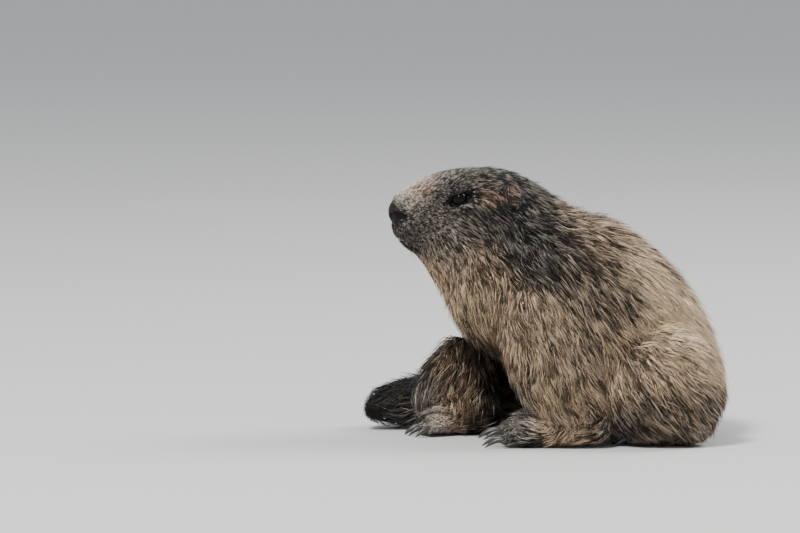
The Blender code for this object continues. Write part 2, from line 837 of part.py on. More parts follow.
build_head()
build_nose()
build_ear("ear_left", LEFT)
build_ear("ear_right", RIGHT)
build_neck()
build_torso()
build_limb("upper_arm_left", STRAW)
build_limb("forearm_left", STRAW, ["upper_arm_left"])
build_limb("tail_root", BROWN)
build_limb("tail_end", BROWN, on_trunk=False)
build_limb("thigh_right", STRAW, ["tail"])
build_limb("shank_right", BROWN, ["thigh_right", "tail"])
build_limb("upper_arm_right", STRAW, ["thigh_right"])
build_limb("forearm_right", BROWN)
build_limb("hind_leg_left", STRAW, ["upper_arm_left", "forearm_left"])
FORE = (FOREPAW_ROWS, FORE_TOES, FORE_TOE_LENGTH, FORE_CLAW_LENGTH)
HIND = (HIND_FOOT_ROWS, HIND_TOES, HIND_TOE_LENGTH, HIND_CLAW_LENGTH)
build_paw("forepaw_left", FOREPAWS[LEFT], *FORE, ["forearm_left", "upper_arm_left"])
build_paw("forepaw_right", FOREPAWS[RIGHT], *FORE, ["forearm_right"])
build_paw("hind_foot_left", HIND_FEET[LEFT], *HIND, ["hind_leg_left", "forearm_left", "upper_arm_left"])
build_paw("hind_foot_right", HIND_FEET[RIGHT], *HIND, ["shank_right", "tail"])
stand_on_origin()
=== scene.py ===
"""The looks of a sitting alpine marmot: one skin, a coat of solid tufts, eyes, nose, claws and whiskers.

The forms below repeat those of the solids, in millimetres. The skin lies inside them by the coat's depth,
and the tips of the tufts come back out to them. The nose points along -X and the left side faces -Y.
"""

import math

import bmesh
import bpy
import numpy as np
from bpy.props import FloatProperty, FloatVectorProperty, IntProperty, PointerProperty
from mathutils import Matrix, Vector
from mathutils.bvhtree import BVHTree
from mathutils.kdtree import KDTree


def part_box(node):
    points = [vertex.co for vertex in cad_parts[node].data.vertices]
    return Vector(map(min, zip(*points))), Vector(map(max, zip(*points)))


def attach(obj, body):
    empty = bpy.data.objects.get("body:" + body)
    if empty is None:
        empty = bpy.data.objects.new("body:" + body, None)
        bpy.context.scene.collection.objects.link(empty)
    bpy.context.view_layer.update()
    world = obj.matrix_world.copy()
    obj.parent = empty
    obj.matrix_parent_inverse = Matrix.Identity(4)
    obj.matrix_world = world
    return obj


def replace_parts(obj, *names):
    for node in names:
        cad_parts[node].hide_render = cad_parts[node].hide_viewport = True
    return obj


bl_info = {
    "name": "Alpine marmot",
    "version": (1, 0, 0),
    "blender": (4, 5, 0),
    "location": "View3D > Sidebar > Marmot",
    "description": "Skin, coat, eyes, nose, claws and whiskers of a sitting marmot",
    "category": "Object",
}

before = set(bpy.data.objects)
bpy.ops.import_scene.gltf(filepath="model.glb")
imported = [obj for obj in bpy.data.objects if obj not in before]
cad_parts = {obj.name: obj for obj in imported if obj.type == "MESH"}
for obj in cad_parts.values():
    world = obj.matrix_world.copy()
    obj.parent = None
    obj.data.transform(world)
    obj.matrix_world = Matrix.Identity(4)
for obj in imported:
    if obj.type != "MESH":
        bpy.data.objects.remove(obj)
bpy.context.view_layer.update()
MM = 0.001
LEFT, RIGHT = -1, 1

# Trunk: back x and z, belly x and z, half width and bend to the right.
TRUNK = [
    (-119, 190, -119, 175, 7, 0),
    (-116, 194, -118, 168, 11.5, 0),
    (-112, 197, -115, 162, 14.5, 0),
    (-106, 201, -111, 157, 17, 0),
    (-100, 204.5, -107, 152, 19.5, 0),
    (-92, 209, -102, 149, 23, 0),
    (-82, 212, -98, 146, 27.5, 0),
    (-71, 214.5, -95, 142, 32.5, 0),
    (-58, 216, -93, 139, 37, 0),
    (-43, 216, -91, 136, 40.5, 0),
    (-28, 214, -90, 133, 42.5, 0),
    (-13, 208, -88, 130, 43.5, 0),
    (1, 199, -86, 126, 45, 0),
    (14, 190, -82, 121, 48, 0),
    (27, 181, -77, 115, 52, 0),
    (42, 176, -73, 108, 57, 0),
    (59, 171, -69, 95, 62, 1),
    (80, 157, -57, 82, 68, 3),
    (104, 136, -32, 66, 74, 6),
    (124, 108, -6, 44, 78, 11),
    (138, 78, 22, 22, 76, 16),
    (145, 54, 58, 0, 65, 20),
    (142, 32, 92, -4, 46, 23),
    (136, 18, 117, -2, 25, 25),
]
# The trunk's coat at some of its rows: depth, length, how far its tips stand off, and droop.
TRUNK_COAT = {
    "row": (0, 3, 6, 8, 10, 12, 14, 17, 23),
    "depth": (0.6, 1, 1.5, 2, 3.2, 5, 6.5, 7.5, 7.5),
    "length": (2.2, 3.2, 4.8, 6.6, 10, 14, 19, 23, 24),
    "stand": (0.2, 0.5, 1, 1.6, 2.8, 4.4, 5.6, 5.6, 5.5),
    "droop": (0, 0.05, 0.3, 0.4, 0.45, 0.5, 0.45, 0.3, 0.1),
}
# Rows of the trunk that are the head.
HEAD_ROWS = 11
# Where in its height a section of the trunk is widest, and the power that squares it a little.
WIDEST = 0.45
SQUARE = 0.93

# Limbs: x, y, z of the middle, then half width across and half depth.
LIMBS = {
    "upper_arm_left": [
        (-6, -34, 124, 18, 24),
        (-4, -46, 108, 25, 31),
        (2, -52, 86, 26, 36),
        (10, -56, 62, 25, 37),
        (20, -58, 42, 22, 31),
        (33, -58, 28, 20, 25),
    ],
    "forearm_left": [
        (44, -57, 21, 17, 19),
        (28, -59, 17, 17, 16.5),
        (14, -60, 13.5, 13, 12.5),
        (4, -61, 11, 12, 10.5),
    ],
    "upper_arm_right": [
        (-6, 48, 130, 18, 22),
        (-6, 56, 114, 24, 28),
        (0, 57, 98, 24, 29),
        (8, 52, 82, 20, 26),
    ],
    "forearm_right": [
        (36, 22, 36, 16, 19),
        (24, 12, 23, 15, 16),
        (11, 3, 15, 13, 13),
        (2, -4, 11, 11.5, 10.5),
    ],
    "hind_leg_left": [
        (56, -52, 30, 18, 25),
        (74, -53, 36, 24, 33),
        (88, -53, 43, 29, 40),
        (104, -50, 49, 31, 45),
        (119, -43, 55, 27, 41),
        (128, -37, 59, 19, 31),
    ],
    "thigh_right": [
        (84, 56, 74, 22, 28),
        (56, 68, 66, 27, 37),
        (14, 70, 61, 25, 32),
        (-20, 65, 59, 21, 26),
        (-40, 60, 61, 17, 19),
    ],
    "shank_right": [
        (-56, 52, 74, 14, 16),
        (-58, 50, 62, 20, 23),
        (-64, 45, 44, 21, 28),
        (-67, 37, 30, 21, 34),
        (-68, 33, 18, 18, 32),
    ],
    "tail": [
        (72, 52, 17, 12, 13),
        (46, 82, 20, 17, 18),
        (8, 96, 22, 20, 21),
        (-28, 98, 22.5, 22, 22),
        (-58, 92, 22, 22, 21.5),
        (-92, 76, 21, 21, 20.5),
        (-120, 60, 19, 18, 18),
        (-134, 52, 16, 11, 12),
    ],
}
LIMB_BULGE = 8

# What grows on each form: slot, coat depth, coat length, how far its tips stand off, and droop.
LIMB_COAT = {
    "upper_arm_left": ("coat_body", 5.5, 20, 4, 0.15),
    "forearm_left": ("coat_legs", 2.4, 13, 2.6, 0),
    "upper_arm_right": ("coat_body", 5.5, 20, 4, 0.15),
    "forearm_right": ("coat_legs", 2.4, 13, 2.6, 0),
    "hind_leg_left": ("coat_body", 6, 23, 5, 1.4),
    "thigh_right": ("coat_body", 6, 23, 5, 0.8),
    "shank_right": ("coat_legs", 5, 23, 8, 0.2),
    "tail": ("coat_tail", 6.5, 26, 6, 0),
}
PALM_COAT = ("coat_paws", 1.1, 4.6, 0.5, 0)
TOE_COAT = ("coat_paws", 0.8, 2.3, 0.2, 0)
HEEL_COAT = ("coat_legs", 1.8, 16, 4, 0)
EAR_COAT = (0.6, 2.2, 0.4, 0, "coat_head")

FOREPAW_ROWS = [
    (-2, 0, 11, 9, 7),
    (6, 0, 11, 11.5, 9.5),
    (15, 0, 11, 13.5, 9.5),
    (24, 0, 10, 14, 8.5),
    (28, 0, 9, 12, 6.5),
]
HIND_FOOT_ROWS = [
    (0, 0, 15, 8, 7),
    (9, 0, 14, 13, 13),
    (28, 0, 12, 13, 11),
    (47, 0, 10, 15, 9.5),
    (56, 0, 9, 15, 8),
]
# Each paw: its rows; x and y of its wrist or heel, and the way it points in degrees; toes; then how long a
# toe and a claw are.
PAWS = {
    "forepaw_left": (FOREPAW_ROWS, (5, -61, 12), 4, 18, 15),
    "forepaw_right": (FOREPAW_ROWS, (3, -4, 2), 4, 18, 15),
    "hind_foot_left": (HIND_FOOT_ROWS, (129, -51.5, 13.3), 5, 20, 12),
    "hind_foot_right": (HIND_FOOT_ROWS, (-34, 26, -9), 5, 20, 12),
}
TOE_RADIUS = 4.6
# The angle in degrees over which the toes fan out.
TOE_FAN = 34
CLAW_RADIUS = 1.9

EYE_RADIUS = 6.4
EYE_XZ = (-65, 193.5)
# The cornea's radius and how far it rises; the radii of iris and pupil, and the softness of their edges.
CORNEA, CORNEA_RISE = 3.6, 0.045
IRIS, PUPIL, EDGE = 4.4, 2.3, 0.5
# The opening of the lids: half length, half height and tilt in degrees.
ALMOND = (9.2, 4.7)
LID_TILT = 22
# The radius that the lids lie on, how far out their corners are at least, and how thick their rims are.
LID_SEAT, LID_CORNER = 7.1, 2.3
UPPER_RIM, LOWER_RIM = 0.85, 0.7
# The ear: its middle, how far it stands off, its half sizes and turn, and the hollow cut into it.
EAR_XZ = (-25, 196.5)
EAR_STAND = 4.2
EAR_SIZE = (8, 6, 12)
EAR_YAW, EAR_PITCH = 32, 14
CUP_SIZE = (5.9, 4.8, 9)
CUP_OFFSET = (-1.2, 4.2, -0.6)
# The line of the mouth, in x and z at the sides.
MOUTH_SIDE = [(-110, 157.5), (-104, 154.5), (-96, 151.5)]
MOUTH_FRONT = (-115.5, 0, 161)
# The nose: middle, half sizes, and the place of a nostril from its middle.
NOSE_PAD_AT = (-112.5, 0, 181)
NOSE_PAD_SIZE = (8.9, 13, 10.8)
NOSTRIL = (-4.6, 9.4, -3)
# The hollow in the fur behind each nostril.
NARES_AT, NARES_REACH = (-110.5, 14, 178), (5.4, 5, 3.6)

# Relief of each side of the face: height, place and reach; the second list is measured from the eye.
CHEEK_RELIEF = [
    (1.4, (-105, 14, 170), (8, 7, 7)),
    (1.6, (-62, 37, 160), (16, 10, 13)),
    (-2, NARES_AT, NARES_REACH),
]
EYE_RELIEF = [
    (1.5, (1, 0, 9), (12, 7, 4.5)),
    (0.8, (2, 0, -9), (11, 7, 4)),
    (-1.1, (-13, 0, -4), (7, 9, 5)),
]
# The line of the mouth: depth and width; the lips beside it: height, distance and width.
MOUTH_DEPTH, MOUTH_WIDTH = 1.7, 1.5
LIP_HEIGHT, LIP_AWAY, LIP_WIDTH = 0.9, 3.2, 2.2
# How often the skin is relaxed: by the coat's length first, then all over.
RELAX_ROUNDS, LAST_ROUNDS = 56, 2
# How many rings' points the lie of the coat is blended from, and how softly.
NEIGHBOURS, SOFTNESS = 7, 6

# The solids that the skin stands for.
FLESH = (
    "head", "neck", "torso", "ear_left", "ear_right", "tail_root", "tail_end", *PAWS,
    *[name for name in LIMBS if name != "tail"],
)

# Colours of the coat, linear. Each has the share of pale tips and of dark tips among its tufts.
TONES = {
    "crown": ((0.085, 0.076, 0.07), 0.24, 0.48),
    "brow": ((0.135, 0.12, 0.105), 0.32, 0.44),
    "cheek": ((0.21, 0.18, 0.15), 0.38, 0.48),
    "muzzle": ((0.58, 0.5, 0.41), 0.35, 0.12),
    "snout": ((0.018, 0.015, 0.014), 0, 0.3),
    "rust": ((0.4, 0.215, 0.12), 0.22, 0.3),
    "ear": ((0.28, 0.175, 0.115), 0.18, 0.36),
    "tan": ((0.5, 0.355, 0.235), 0.38, 0.48),
    "straw": ((0.76, 0.54, 0.345), 0.44, 0.44),
    "cream": ((1.0, 0.77, 0.5), 0.72, 0.14),
    "charcoal": ((0.07, 0.065, 0.062), 0.26, 0.46),
    "umber": ((0.24, 0.178, 0.125), 0.32, 0.54),
    "bark": ((0.07, 0.045, 0.029), 0.05, 0.4),
    "amber": ((0.42, 0.275, 0.16), 0.28, 0.3),
    "black_tip_and_ear_shade": ((0.018, 0.015, 0.014), 0.03, 0.3),
    "slate": ((0.12, 0.113, 0.107), 0.3, 0.38),
    "ash": ((0.46, 0.41, 0.34), 0.35, 0.2),
}
# Bare or thinly haired skin: lids and lips in their own tones, painted shade in the hollow of the ear, and
# near-black painted shade over the hollow behind each nostril.
LID_TONE, NARES_SHADE = (0.004, 0.0035, 0.003), (0.006, 0.005, 0.005)
CUP_SHADE, LIP_TONE = (0.03, 0.024, 0.02), (0.014, 0.011, 0.01)
BALL_TONE = 0.004
# Markings, among them painted shade and a painted highlight: tone, middle, reach and strength. Those with a
# y below zero are on both sides, except that low ones of the tones named here are on the left only.
ONE_SIDED, LOW = ("amber", "slate"), 40
MARKINGS_AND_PAINTED_LIGHT = [
    ("snout", -118, 0, 180, 9, 5),
    ("snout", -112, -15, 178, 5, 5),
    ("snout", -105, 0, 152, 8, 4),
    ("snout", -103, -15, 151, 6, 3),
    ("muzzle", -102, -9, 199, 12, 3.4),
    ("slate", -101, -17, 172, 12, 3.6),
    ("slate", -92, -23, 166, 12, 2.2),
    ("charcoal", -106, -12, 162, 8, 2.4),
    ("charcoal", -97, -21, 168, 10, 2),
    ("rust", -95, -12, 200, 8, 2.2),
    ("brow", -84, -24, 192, 13, 1),
    ("crown", -70, 0, 213, 20, 1.2),
    ("crown", -40, 0, 214, 26, 1.6),
    ("crown", -52, -34, 200, 18, 1.2),
    ("cheek", -82, -28, 162, 14, 1.2),
    ("brow", -62, -36, 172, 16, 1),
    ("rust", -41, -41, 197, 8, 1.1),
    ("ear", -22, -48, 199, 7, 3.4),
    ("ear", -29, -48, 198, 6, 3),
    # Painted highlight on the ear's rear and upper rim, in pale tan.
    ("tan", -16, -48, 205, 4, 3),
    ("cheek", -70, -36, 152, 16, 1.2),
    ("cheek", -100, 0, 150, 14, 1),
    ("charcoal", -24, -42, 168, 20, 1.5),
    ("charcoal", -8, 0, 205, 22, 1.2),
    ("charcoal", 2, -46, 158, 24, 1.9),
    ("charcoal", 0, -48, 134, 18, 1.3),
    ("tan", -44, -42, 136, 18, 1.3),
    ("straw", -80, -18, 124, 20, 1.6),
    ("straw", -72, 0, 96, 30, 1.9),
    ("straw", -42, -44, 104, 24, 2),
    ("straw", -8, -74, 96, 20, 1.3),
    ("umber", 26, -54, 128, 22, 1.2),
    ("tan", 50, -30, 168, 24, 1.7),
    ("umber", 24, -10, 182, 20, 1.3),
    ("umber", 60, -60, 120, 24, 2.6),
    ("umber", 76, -66, 112, 13, 2.6),
    ("umber", 38, -78, 70, 13, 1.4),
    ("straw", 66, -74, 84, 22, 1.6),
    ("straw", 66, -80, 64, 18, 2.8),
    ("tan", 24, -80, 66, 20, 0.9),
    ("straw", 34, -72, 60, 18, 1),
    ("cream", 90, -48, 136, 20, 4),
    ("cream", 106, -60, 108, 21, 5),
    ("cream", 122, -50, 86, 24, 2),
    ("cream", 138, 0, 84, 28, 1.8),
    ("tan", 100, 0, 140, 26, 1.1),
    ("straw", 96, -82, 62, 20, 1.4),
    ("umber", 92, -70, 24, 20, 1.9),
    ("umber", 130, -44, 20, 22, 1.2),
    ("tan", 148, 0, 34, 22, 1.2),
    ("umber", 20, 0, 40, 34, 1),
    ("tan", 24, -60, 16, 16, 1.5),
    ("straw", 9, -66, 18, 14, 6),
    ("ash", -10, -62, 20, 7, 2),
    ("amber", 18, -78, 36, 14, 0.8),
    ("slate", -14, -62, 8, 17, 3.4),
    ("slate", 62, -66, 5, 12, 2.4),
    ("umber", 44, -66, 14, 14, 1.6),
    # Painted shadow beneath the ear, in near black.
    ("black_tip_and_ear_shade", -27, -46, 185, 6, 5),
    ("bark", 22, 14, 26, 24, 3.4),
    ("slate", -14, 0, 9, 18, 2.6),
    ("bark", -52, 50, 72, 22, 4),
    ("bark", -28, 62, 56, 20, 1.4),
    ("amber", -72, 44, 38, 13, 1.7),
    ("ash", -94, 34, 8, 19, 3),
    ("amber", -68, 26, 18, 13, 1.8),
    ("bark", -46, 24, 16, 13, 1.6),
    # Painted shade in dark brown: under the front of the chest between the forelegs, and in the gap between
    # the near foreleg and the far leg.
    ("bark", -40, -18, 72, 17, 6),
    ("bark", -37, -46, 60, 9, 2.4),
    ("straw", 30, 88, 78, 30, 1.4),
    ("amber", 50, 84, 20, 24, 2),
    ("amber", -16, 98, 22, 30, 2.4),
    ("bark", -66, 88, 22, 22, 1.8),
    ("black_tip_and_ear_shade", -116, 62, 18, 30, 5),
]

# Coats shorter than this have straight tufts, except on the slots named here.
SHORT = 7.5
BUSHY = ("coat_body", "coat_legs", "coat_tail")
# A clump's number of tufts in a short and in a long coat.
CLUMP_SHORT, CLUMP_LONG = 2.5, 4.5
# Guard hairs: their share; their length, pull to the clump and width against other tufts'; and how far they
# stand out of the coat.
GUARD_SHARE = 0.1
GUARD_LENGTH, GUARD_PULL, GUARD_WIDTH = 1.2, 0.3, 0.6
GUARD_STAND = 0.8
# How much tufts stray, and the waves in which the coat turns aside, with how far it turns.
STRAY = 0.17
WAVES, WAVE_TURN = ((0.09, 0.13, 0.11), (-0.17, 0.05, 0.19)), 0.13
# Where a tuft's middle ring is, as a share of its length.
HALFWAY = 0.45
# No tuft's root is this close to the line of the mouth, or lower than this.
LIP, LOWEST = 0.9, 2.2
# The lowest that the skin, and a tuft's middle and tip, come to the floor.
SKIN_FLOOR, MIDDLE_FLOOR, TIP_FLOOR = 0.1, 0.7, 0.4
# How the brightness varies from clump to clump and from tuft to tuft, the coat's brightness against the
# markings, and the share of tufts whose tips are like the rest of their clump's.
CLUMPS_VARY, TUFTS_VARY = (0.4, 1.6), (0.75, 1.25)
LIFT = 1.12
ALIKE = 0.8
# Added to pale tips; the brightest a tip may be; how bright dark tips and roots are against the coat.
PALE = (0.36, 0.305, 0.23)
BRIGHTEST = 0.97
DARK_TIP, ROOT = 0.14, 0.09
# Faces of a tuft: its points are three at the root, three halfway if it is bent, and the tip.
BENT = np.array([
    (0, 1, 2), (0, 4, 1), (0, 3, 4), (1, 5, 2), (1, 4, 5), (2, 3, 0), (2, 5, 3), (3, 6, 4), (4, 6, 5),
    (5, 6, 3),
])
STRAIGHT = np.array([(0, 1, 2), (0, 3, 1), (1, 3, 2), (2, 3, 0)])
# The places of a bent tuft's points in its patch of the unwrap, and the patch's half width.
PATCH = np.array([(-1, -1), (1, -1), (0, -1), (-1, 0), (1, 0), (0, 0), (0, 1)]) * 0.0015
FACES_A_PIECE = 195000

# Whiskers: how many rows, x and z of the first one's root, and the seed of their draws.
WHISKER_ROWS = 4
FIRST_WHISKER = (-111, 172)
WHISKER_SEED = 23
WHISKER_THICKNESS, WHISKER_BEND = 0.00022, 0.14
WHISKER_COLOUR = (0.03, 0.026, 0.023)

# Stage: the photo's middle and the tables' origin in its pixels, and what a pixel spans in millimetres.
MIDDLE_PX, ORIGIN_PX = (400, 266.5), (540, 436)
PIXEL = 0.8
# Each light's place, size and power.
LIGHTS = {"key": ((-1.3, -2.2, 3.4), 0.9, 235), "rim": ((2.4, 0.5, 2.5), 1.4, 95)}
LIGHTS_AIM = (0, 0, 0.1)
SKY_COLOUR, SKY_STRENGTH = (0.86, 0.9, 0.96, 1), 0.8


class MarmotCoat(bpy.types.PropertyGroup):
    tufts: IntProperty(name="Tufts", description="How many tufts the coat has", default=176000, min=1000)
    length: FloatProperty(name="Length", description="Length of the coat against the tables", default=1.0)
    width: FloatProperty(name="Width", description="Width of a long tuft in millimetres", default=1.02)
    clump: FloatProperty(name="Clumping", description="How far tips lean to their clump", default=0.7)
    seed: IntProperty(name="Seed", description="Seed of the coat's random draws", default=7)


class MarmotBody(bpy.types.PropertyGroup):
    voxel: FloatProperty(
        name="Grain", description="Size of the skin's quads", default=0.00165, unit="LENGTH", precision=5
    )
    whiskers: IntProperty(name="Whiskers", description="Whiskers on each side", default=13, min=1)
    whisker_length: FloatProperty(
        name="Whisker length", description="Length of the longest whisker", default=0.038, unit="LENGTH"
    )
    eye_colour: FloatVectorProperty(
        name="Iris", description="Colour of the iris", default=(0.006, 0.004, 0.003), subtype="COLOR"
    )
    nose_colour: FloatVectorProperty(
        name="Nose", description="Colour of the nose", default=(0.012, 0.01, 0.0095), subtype="COLOR"
    )
    claw_colour: FloatVectorProperty(
        name="Claws", description="Colour of the horn", default=(0.035, 0.03, 0.026), subtype="COLOR"
    )


class MarmotStage(bpy.types.PropertyGroup):
    distance: FloatProperty(
        name="Distance", description="From the camera to the animal", default=3.5, unit="LENGTH"
    )
    elevation: FloatProperty(
        name="Elevation", description="The camera looks down by this", default=math.radians(5),
        subtype="ANGLE",
    )
    view_width: FloatProperty(
        name="View width", description="Width that the view covers there", default=0.64, unit="LENGTH"
    )
    floor_colour: FloatVectorProperty(
        name="Floor", description="Colour of the floor", default=(0.56, 0.55, 0.53), subtype="COLOR"
    )


# Places and meshes

def part_shift():
    """How far the solids stand from the tables' origin, in millimetres, read from the eyes."""
    boxes = [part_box("eye_left"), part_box("eye_right")]
    middles = [(low + high) / 2 / MM for low, high in boxes]
    middle = (middles[0] + middles[1]) / 2
    return np.array([middle.x - EYE_XZ[0], middle.y, middle.z - EYE_XZ[1]])


SHIFT = part_shift()


def to_scene(points):
    """Metres in the frame, from the tables' millimetres."""
    return (np.asarray(points, float) + SHIFT) * MM


def to_tables(points):
    """The tables' millimetres, from metres in the frame."""
    return np.asarray(points, float) / MM - SHIFT


def mesh_of(name, points, triangles):
    """A mesh from arrays of points, in the tables' millimetres, and of triangles."""
    points = to_scene(points)
    triangles = np.asarray(triangles, np.int32)
    mesh = bpy.data.meshes.new(name)
    mesh.vertices.add(len(points))
    mesh.vertices.foreach_set("co", points.astype(np.float32).ravel())
    mesh.loops.add(triangles.size)
    mesh.loops.foreach_set("vertex_index", triangles.ravel())
    mesh.polygons.add(len(triangles))
    mesh.polygons.foreach_set("loop_start", np.arange(0, triangles.size, 3, dtype=np.int32))
    mesh.polygons.foreach_set("use_smooth", np.ones(len(triangles), bool))
    mesh.update(calc_edges=True)
    return mesh


def linked(name, data):
    """A new object in the scene."""
    obj = bpy.data.objects.new(name, data)
    bpy.context.scene.collection.objects.link(obj)
    return obj


def piece(name, mesh, material):
    """A finished piece in the scene, with its material, parented to the root body."""
    obj = linked(name, mesh)
    obj.data.materials.clear()
    obj.data.materials.append(material)
    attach(obj, "root")
    return obj


def set_colours(mesh, colours):
    """Writes a colour for each point as the attribute that the materials read."""
    layer = mesh.color_attributes.new(name="markings_and_painted_light", type="FLOAT_COLOR", domain="POINT")
    rgba = np.ones((len(colours), 4), np.float32)
    rgba[:, :3] = colours
    layer.data.foreach_set("color", rgba.ravel())


def read(items, key, width, kind=np.float32):
    """One property of all the items of a mesh, as rows of numbers."""
    made = np.empty(len(items) * width, kind)
    items.foreach_get(key, made)
    return made.reshape(-1, width)


def points_of(mesh):
    return to_tables(read(mesh.vertices, "co", 3))


def normals_of(mesh):
    return read(mesh.vertices, "normal", 3).astype(float)


def corners_of(mesh, key="vertices"):
    """The points, or the loops, at the corners of a mesh's triangles."""
    mesh.calc_loop_triangles()
    return read(mesh.loop_triangles, key, 3, np.int32)


def arrays_of(edit):
    """Points and faces of a form being edited, which is then freed."""
    points = np.array([v.co for v in edit.verts])
    faces = np.array([[v.index for v in face.verts] for face in edit.faces])
    edit.free()
    return points, faces


def unit(vectors):
    return vectors / np.maximum(np.linalg.norm(vectors, axis=-1, keepdims=True), 1e-9)


def evaluated_mesh(obj):
    bpy.context.view_layer.update()
    return bpy.data.meshes.new_from_object(obj.evaluated_get(bpy.context.evaluated_depsgraph_get()))


# Forms

def smooth_rows(rows, steps):
    """The rows with more between them, on a curve through all of them."""
    rows = np.array(rows, float)
    ends = np.vstack([2 * rows[0] - rows[1], rows, 2 * rows[-1] - rows[-2]])
    made = []
    for a, b, c, d in zip(ends, ends[1:], ends[2:], ends[3:]):
        for t in np.arange(steps) / steps:
            bend = (2 * a - 5 * b + 4 * c - d) * t**2 + (3 * b - a - 3 * c + d) * t**3
            made.append((2 * b + (c - a) * t + bend) / 2)
    return np.array(made + [rows[-1]])


def rounded(value, power):
    """The value to a power, with its sign kept."""
    return np.sign(value) * np.abs(value) ** power


def trunk_ring(row, swell, sides=64):
    """One section of the trunk: an oval that is widest below its middle."""
    back_x, back_z, belly_x, belly_z, half_width, bend = row
    belly = np.array([belly_x, bend, belly_z])
    rise = np.array([back_x, bend, back_z]) - belly
    height = np.linalg.norm(rise)
    up = rise / height
    turn = np.linspace(0, 2 * math.pi, sides, endpoint=False)
    high = rounded(np.sin(turn), SQUARE)
    reach = np.where(high > 0, (1 - WIDEST) * height, WIDEST * height) + swell
    across = rounded(np.cos(turn), SQUARE) * (half_width + swell)
    return belly + up * height * WIDEST + np.outer(high * reach, up) + np.outer(across, (0, 1, 0))


def trunk_rings(inside=1.0, steps=4, sides=64):
    """The trunk's rings, drawn in by the coat's depth times inside."""
    rows = smooth_rows(TRUNK, steps)
    depth = np.interp(np.arange(len(rows)) / steps, TRUNK_COAT["row"], TRUNK_COAT["depth"])
    return [trunk_ring(row, -d * inside, sides) for row, d in zip(rows, depth)]


def path_rings(rows, sides, steps, swell=0.0):
    """Oval rings square to the smooth path of a limb, wide across it and deep up and down."""
    path = smooth_rows(rows, steps)
    centres = path[:, :3]
    ways = np.gradient(centres, axis=0)
    turn = np.linspace(0, 2 * math.pi, sides, endpoint=False)
    rings = []
    for centre, way, half_width, half_depth in zip(centres, ways, path[:, 3], path[:, 4]):
        way = way / np.linalg.norm(way)
        side = np.array((0.0, 1.0, 0.0)) - way * way[1]
        side /= np.linalg.norm(side)
        wide = np.outer(np.cos(turn) * (half_width + swell), side)
        deep = np.outer(np.sin(turn) * (half_depth + swell), np.cross(way, side))
        rings.append(centre + wide + deep)
    return rings


def loft(rings, front=0.0, back=0.0):
    """Points and triangles of a closed form through the rings, with its ends rounded out."""
    rings = [np.asarray(ring) for ring in rings]
    ends = []
    for ring, before, bulge in ((rings[0], rings[1], front), (rings[-1], rings[-2], back)):
        middle = ring.mean(axis=0)
        way = unit(middle - before.mean(axis=0)) * bulge
        turns = np.radians((22, 45, 66, 80)) if bulge else []
        ends.append([middle + way * math.sin(t) + (ring - middle) * math.cos(t) for t in turns])
        ends.append(middle + way)
    rings = ends[0][::-1] + rings + ends[2]
    sides = len(rings[0])
    points = np.vstack(rings + [ends[1], ends[3]])
    last = (len(rings) - 1) * sides
    s = np.arange(sides)
    t = (s + 1) % sides
    faces = [np.column_stack([t, s, np.full(sides, last + sides)])]
    faces.append(np.column_stack([last + s, last + t, np.full(sides, last + sides + 1)]))
    for r in range(0, last, sides):
        faces.append(np.column_stack([r + s, r + t, r + t + sides]))
        faces.append(np.column_stack([r + s, r + t + sides, r + s + sides]))
    return points, np.vstack(faces)


def joined(forms):
    """Several (points, triangles) as one."""
    points, faces, start = [], [], 0
    for some_points, some_faces in forms:
        points.append(some_points)
        faces.append(some_faces + start)
        start += len(some_points)
    return np.vstack(points), np.vstack(faces)


def in_foot_frame(rows, place):
    """Rows given along a foot, set down at its heel and turned the way it points."""
    x, y, degrees = place
    way = math.radians(degrees)
    made = []
    for along, out, high, *sizes in rows:
        ahead = -math.cos(way) * along - math.sin(way) * out
        aside = math.sin(way) * along - math.cos(way) * out
        made.append((x + ahead, y + aside, high, *sizes))
    return made


def toe_paths(paw):
    """The rows of each toe and of its claw, fanned out from the front of the palm."""
    rows, place, toes, toe_length, claw_length = paw
    degrees = place[2]
    front, width = rows[-2][0], rows[-2][3]
    thick, horn = TOE_RADIUS, CLAW_RADIUS
    for toe in range(toes):
        spread = (toe + 0.5) / toes - 0.5
        reach = toe_length * (1 - 0.9 * spread**2)
        start = (front - 4 - 14 * spread**2, spread * 2 * (width - 1), 0)
        root = in_foot_frame([start], place)[0][:2]
        turned = (*root, degrees - spread * TOE_FAN)
        toe_rows = [
            (0, 0, 9, thick * 0.9, thick),
            (reach * 0.45, 0, 9.4, thick, thick * 1.1),
            (reach * 0.8, 0, 7, thick * 0.95, thick),
            (reach, 0, 5, thick * 0.8, thick * 0.85),
        ]
        claw_rows = [
            (reach - 4, 0, 6.6, horn * 0.9, horn * 1.1),
            (reach + claw_length * 0.3, 0, 6.4, horn * 0.8, horn),
            (reach + claw_length * 0.7, 0, 4, horn * 0.55, horn * 0.7),
            (reach + claw_length, 0, 0.9, 0.3, 0.35),
        ]
        yield in_foot_frame(toe_rows, turned), in_foot_frame(claw_rows, turned)


def ellipsoid(centre, radii, turn=Matrix(), detail=48):
    """Points and triangles of an ellipsoid."""
    edit = bmesh.new()
    bmesh.ops.create_uvsphere(edit, u_segments=detail, v_segments=detail // 2, radius=1)
    bmesh.ops.triangulate(edit, faces=edit.faces)
    points, faces = arrays_of(edit)
    return (points * radii) @ np.array(turn.to_3x3()).T + np.array(centre), faces


def surface_tree(points, faces):
    """A surface that answers rays and finds the nearest place on itself."""
    return BVHTree.FromPolygons([tuple(p) for p in points], [tuple(f) for f in faces.tolist()])


OUTLINE = surface_tree(*loft(trunk_rings(0), 1.5, 8))


def side_of_trunk(x, z, side):
    """The y of the trunk's outer surface at x and z."""
    return OUTLINE.ray_cast(Vector((x, side * 500, z)), Vector((0, -side, 0)))[0].y


def ear_place(side, stand):
    """The middle of the ear, set off from the side of the head."""
    x, z = EAR_XZ
    return np.array((x, side_of_trunk(x, z, side) + side * stand, z))


def eye_centre(side):
    low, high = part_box("eye_left" if side == LEFT else "eye_right")
    return to_tables((low + high) / 2)


# Skin

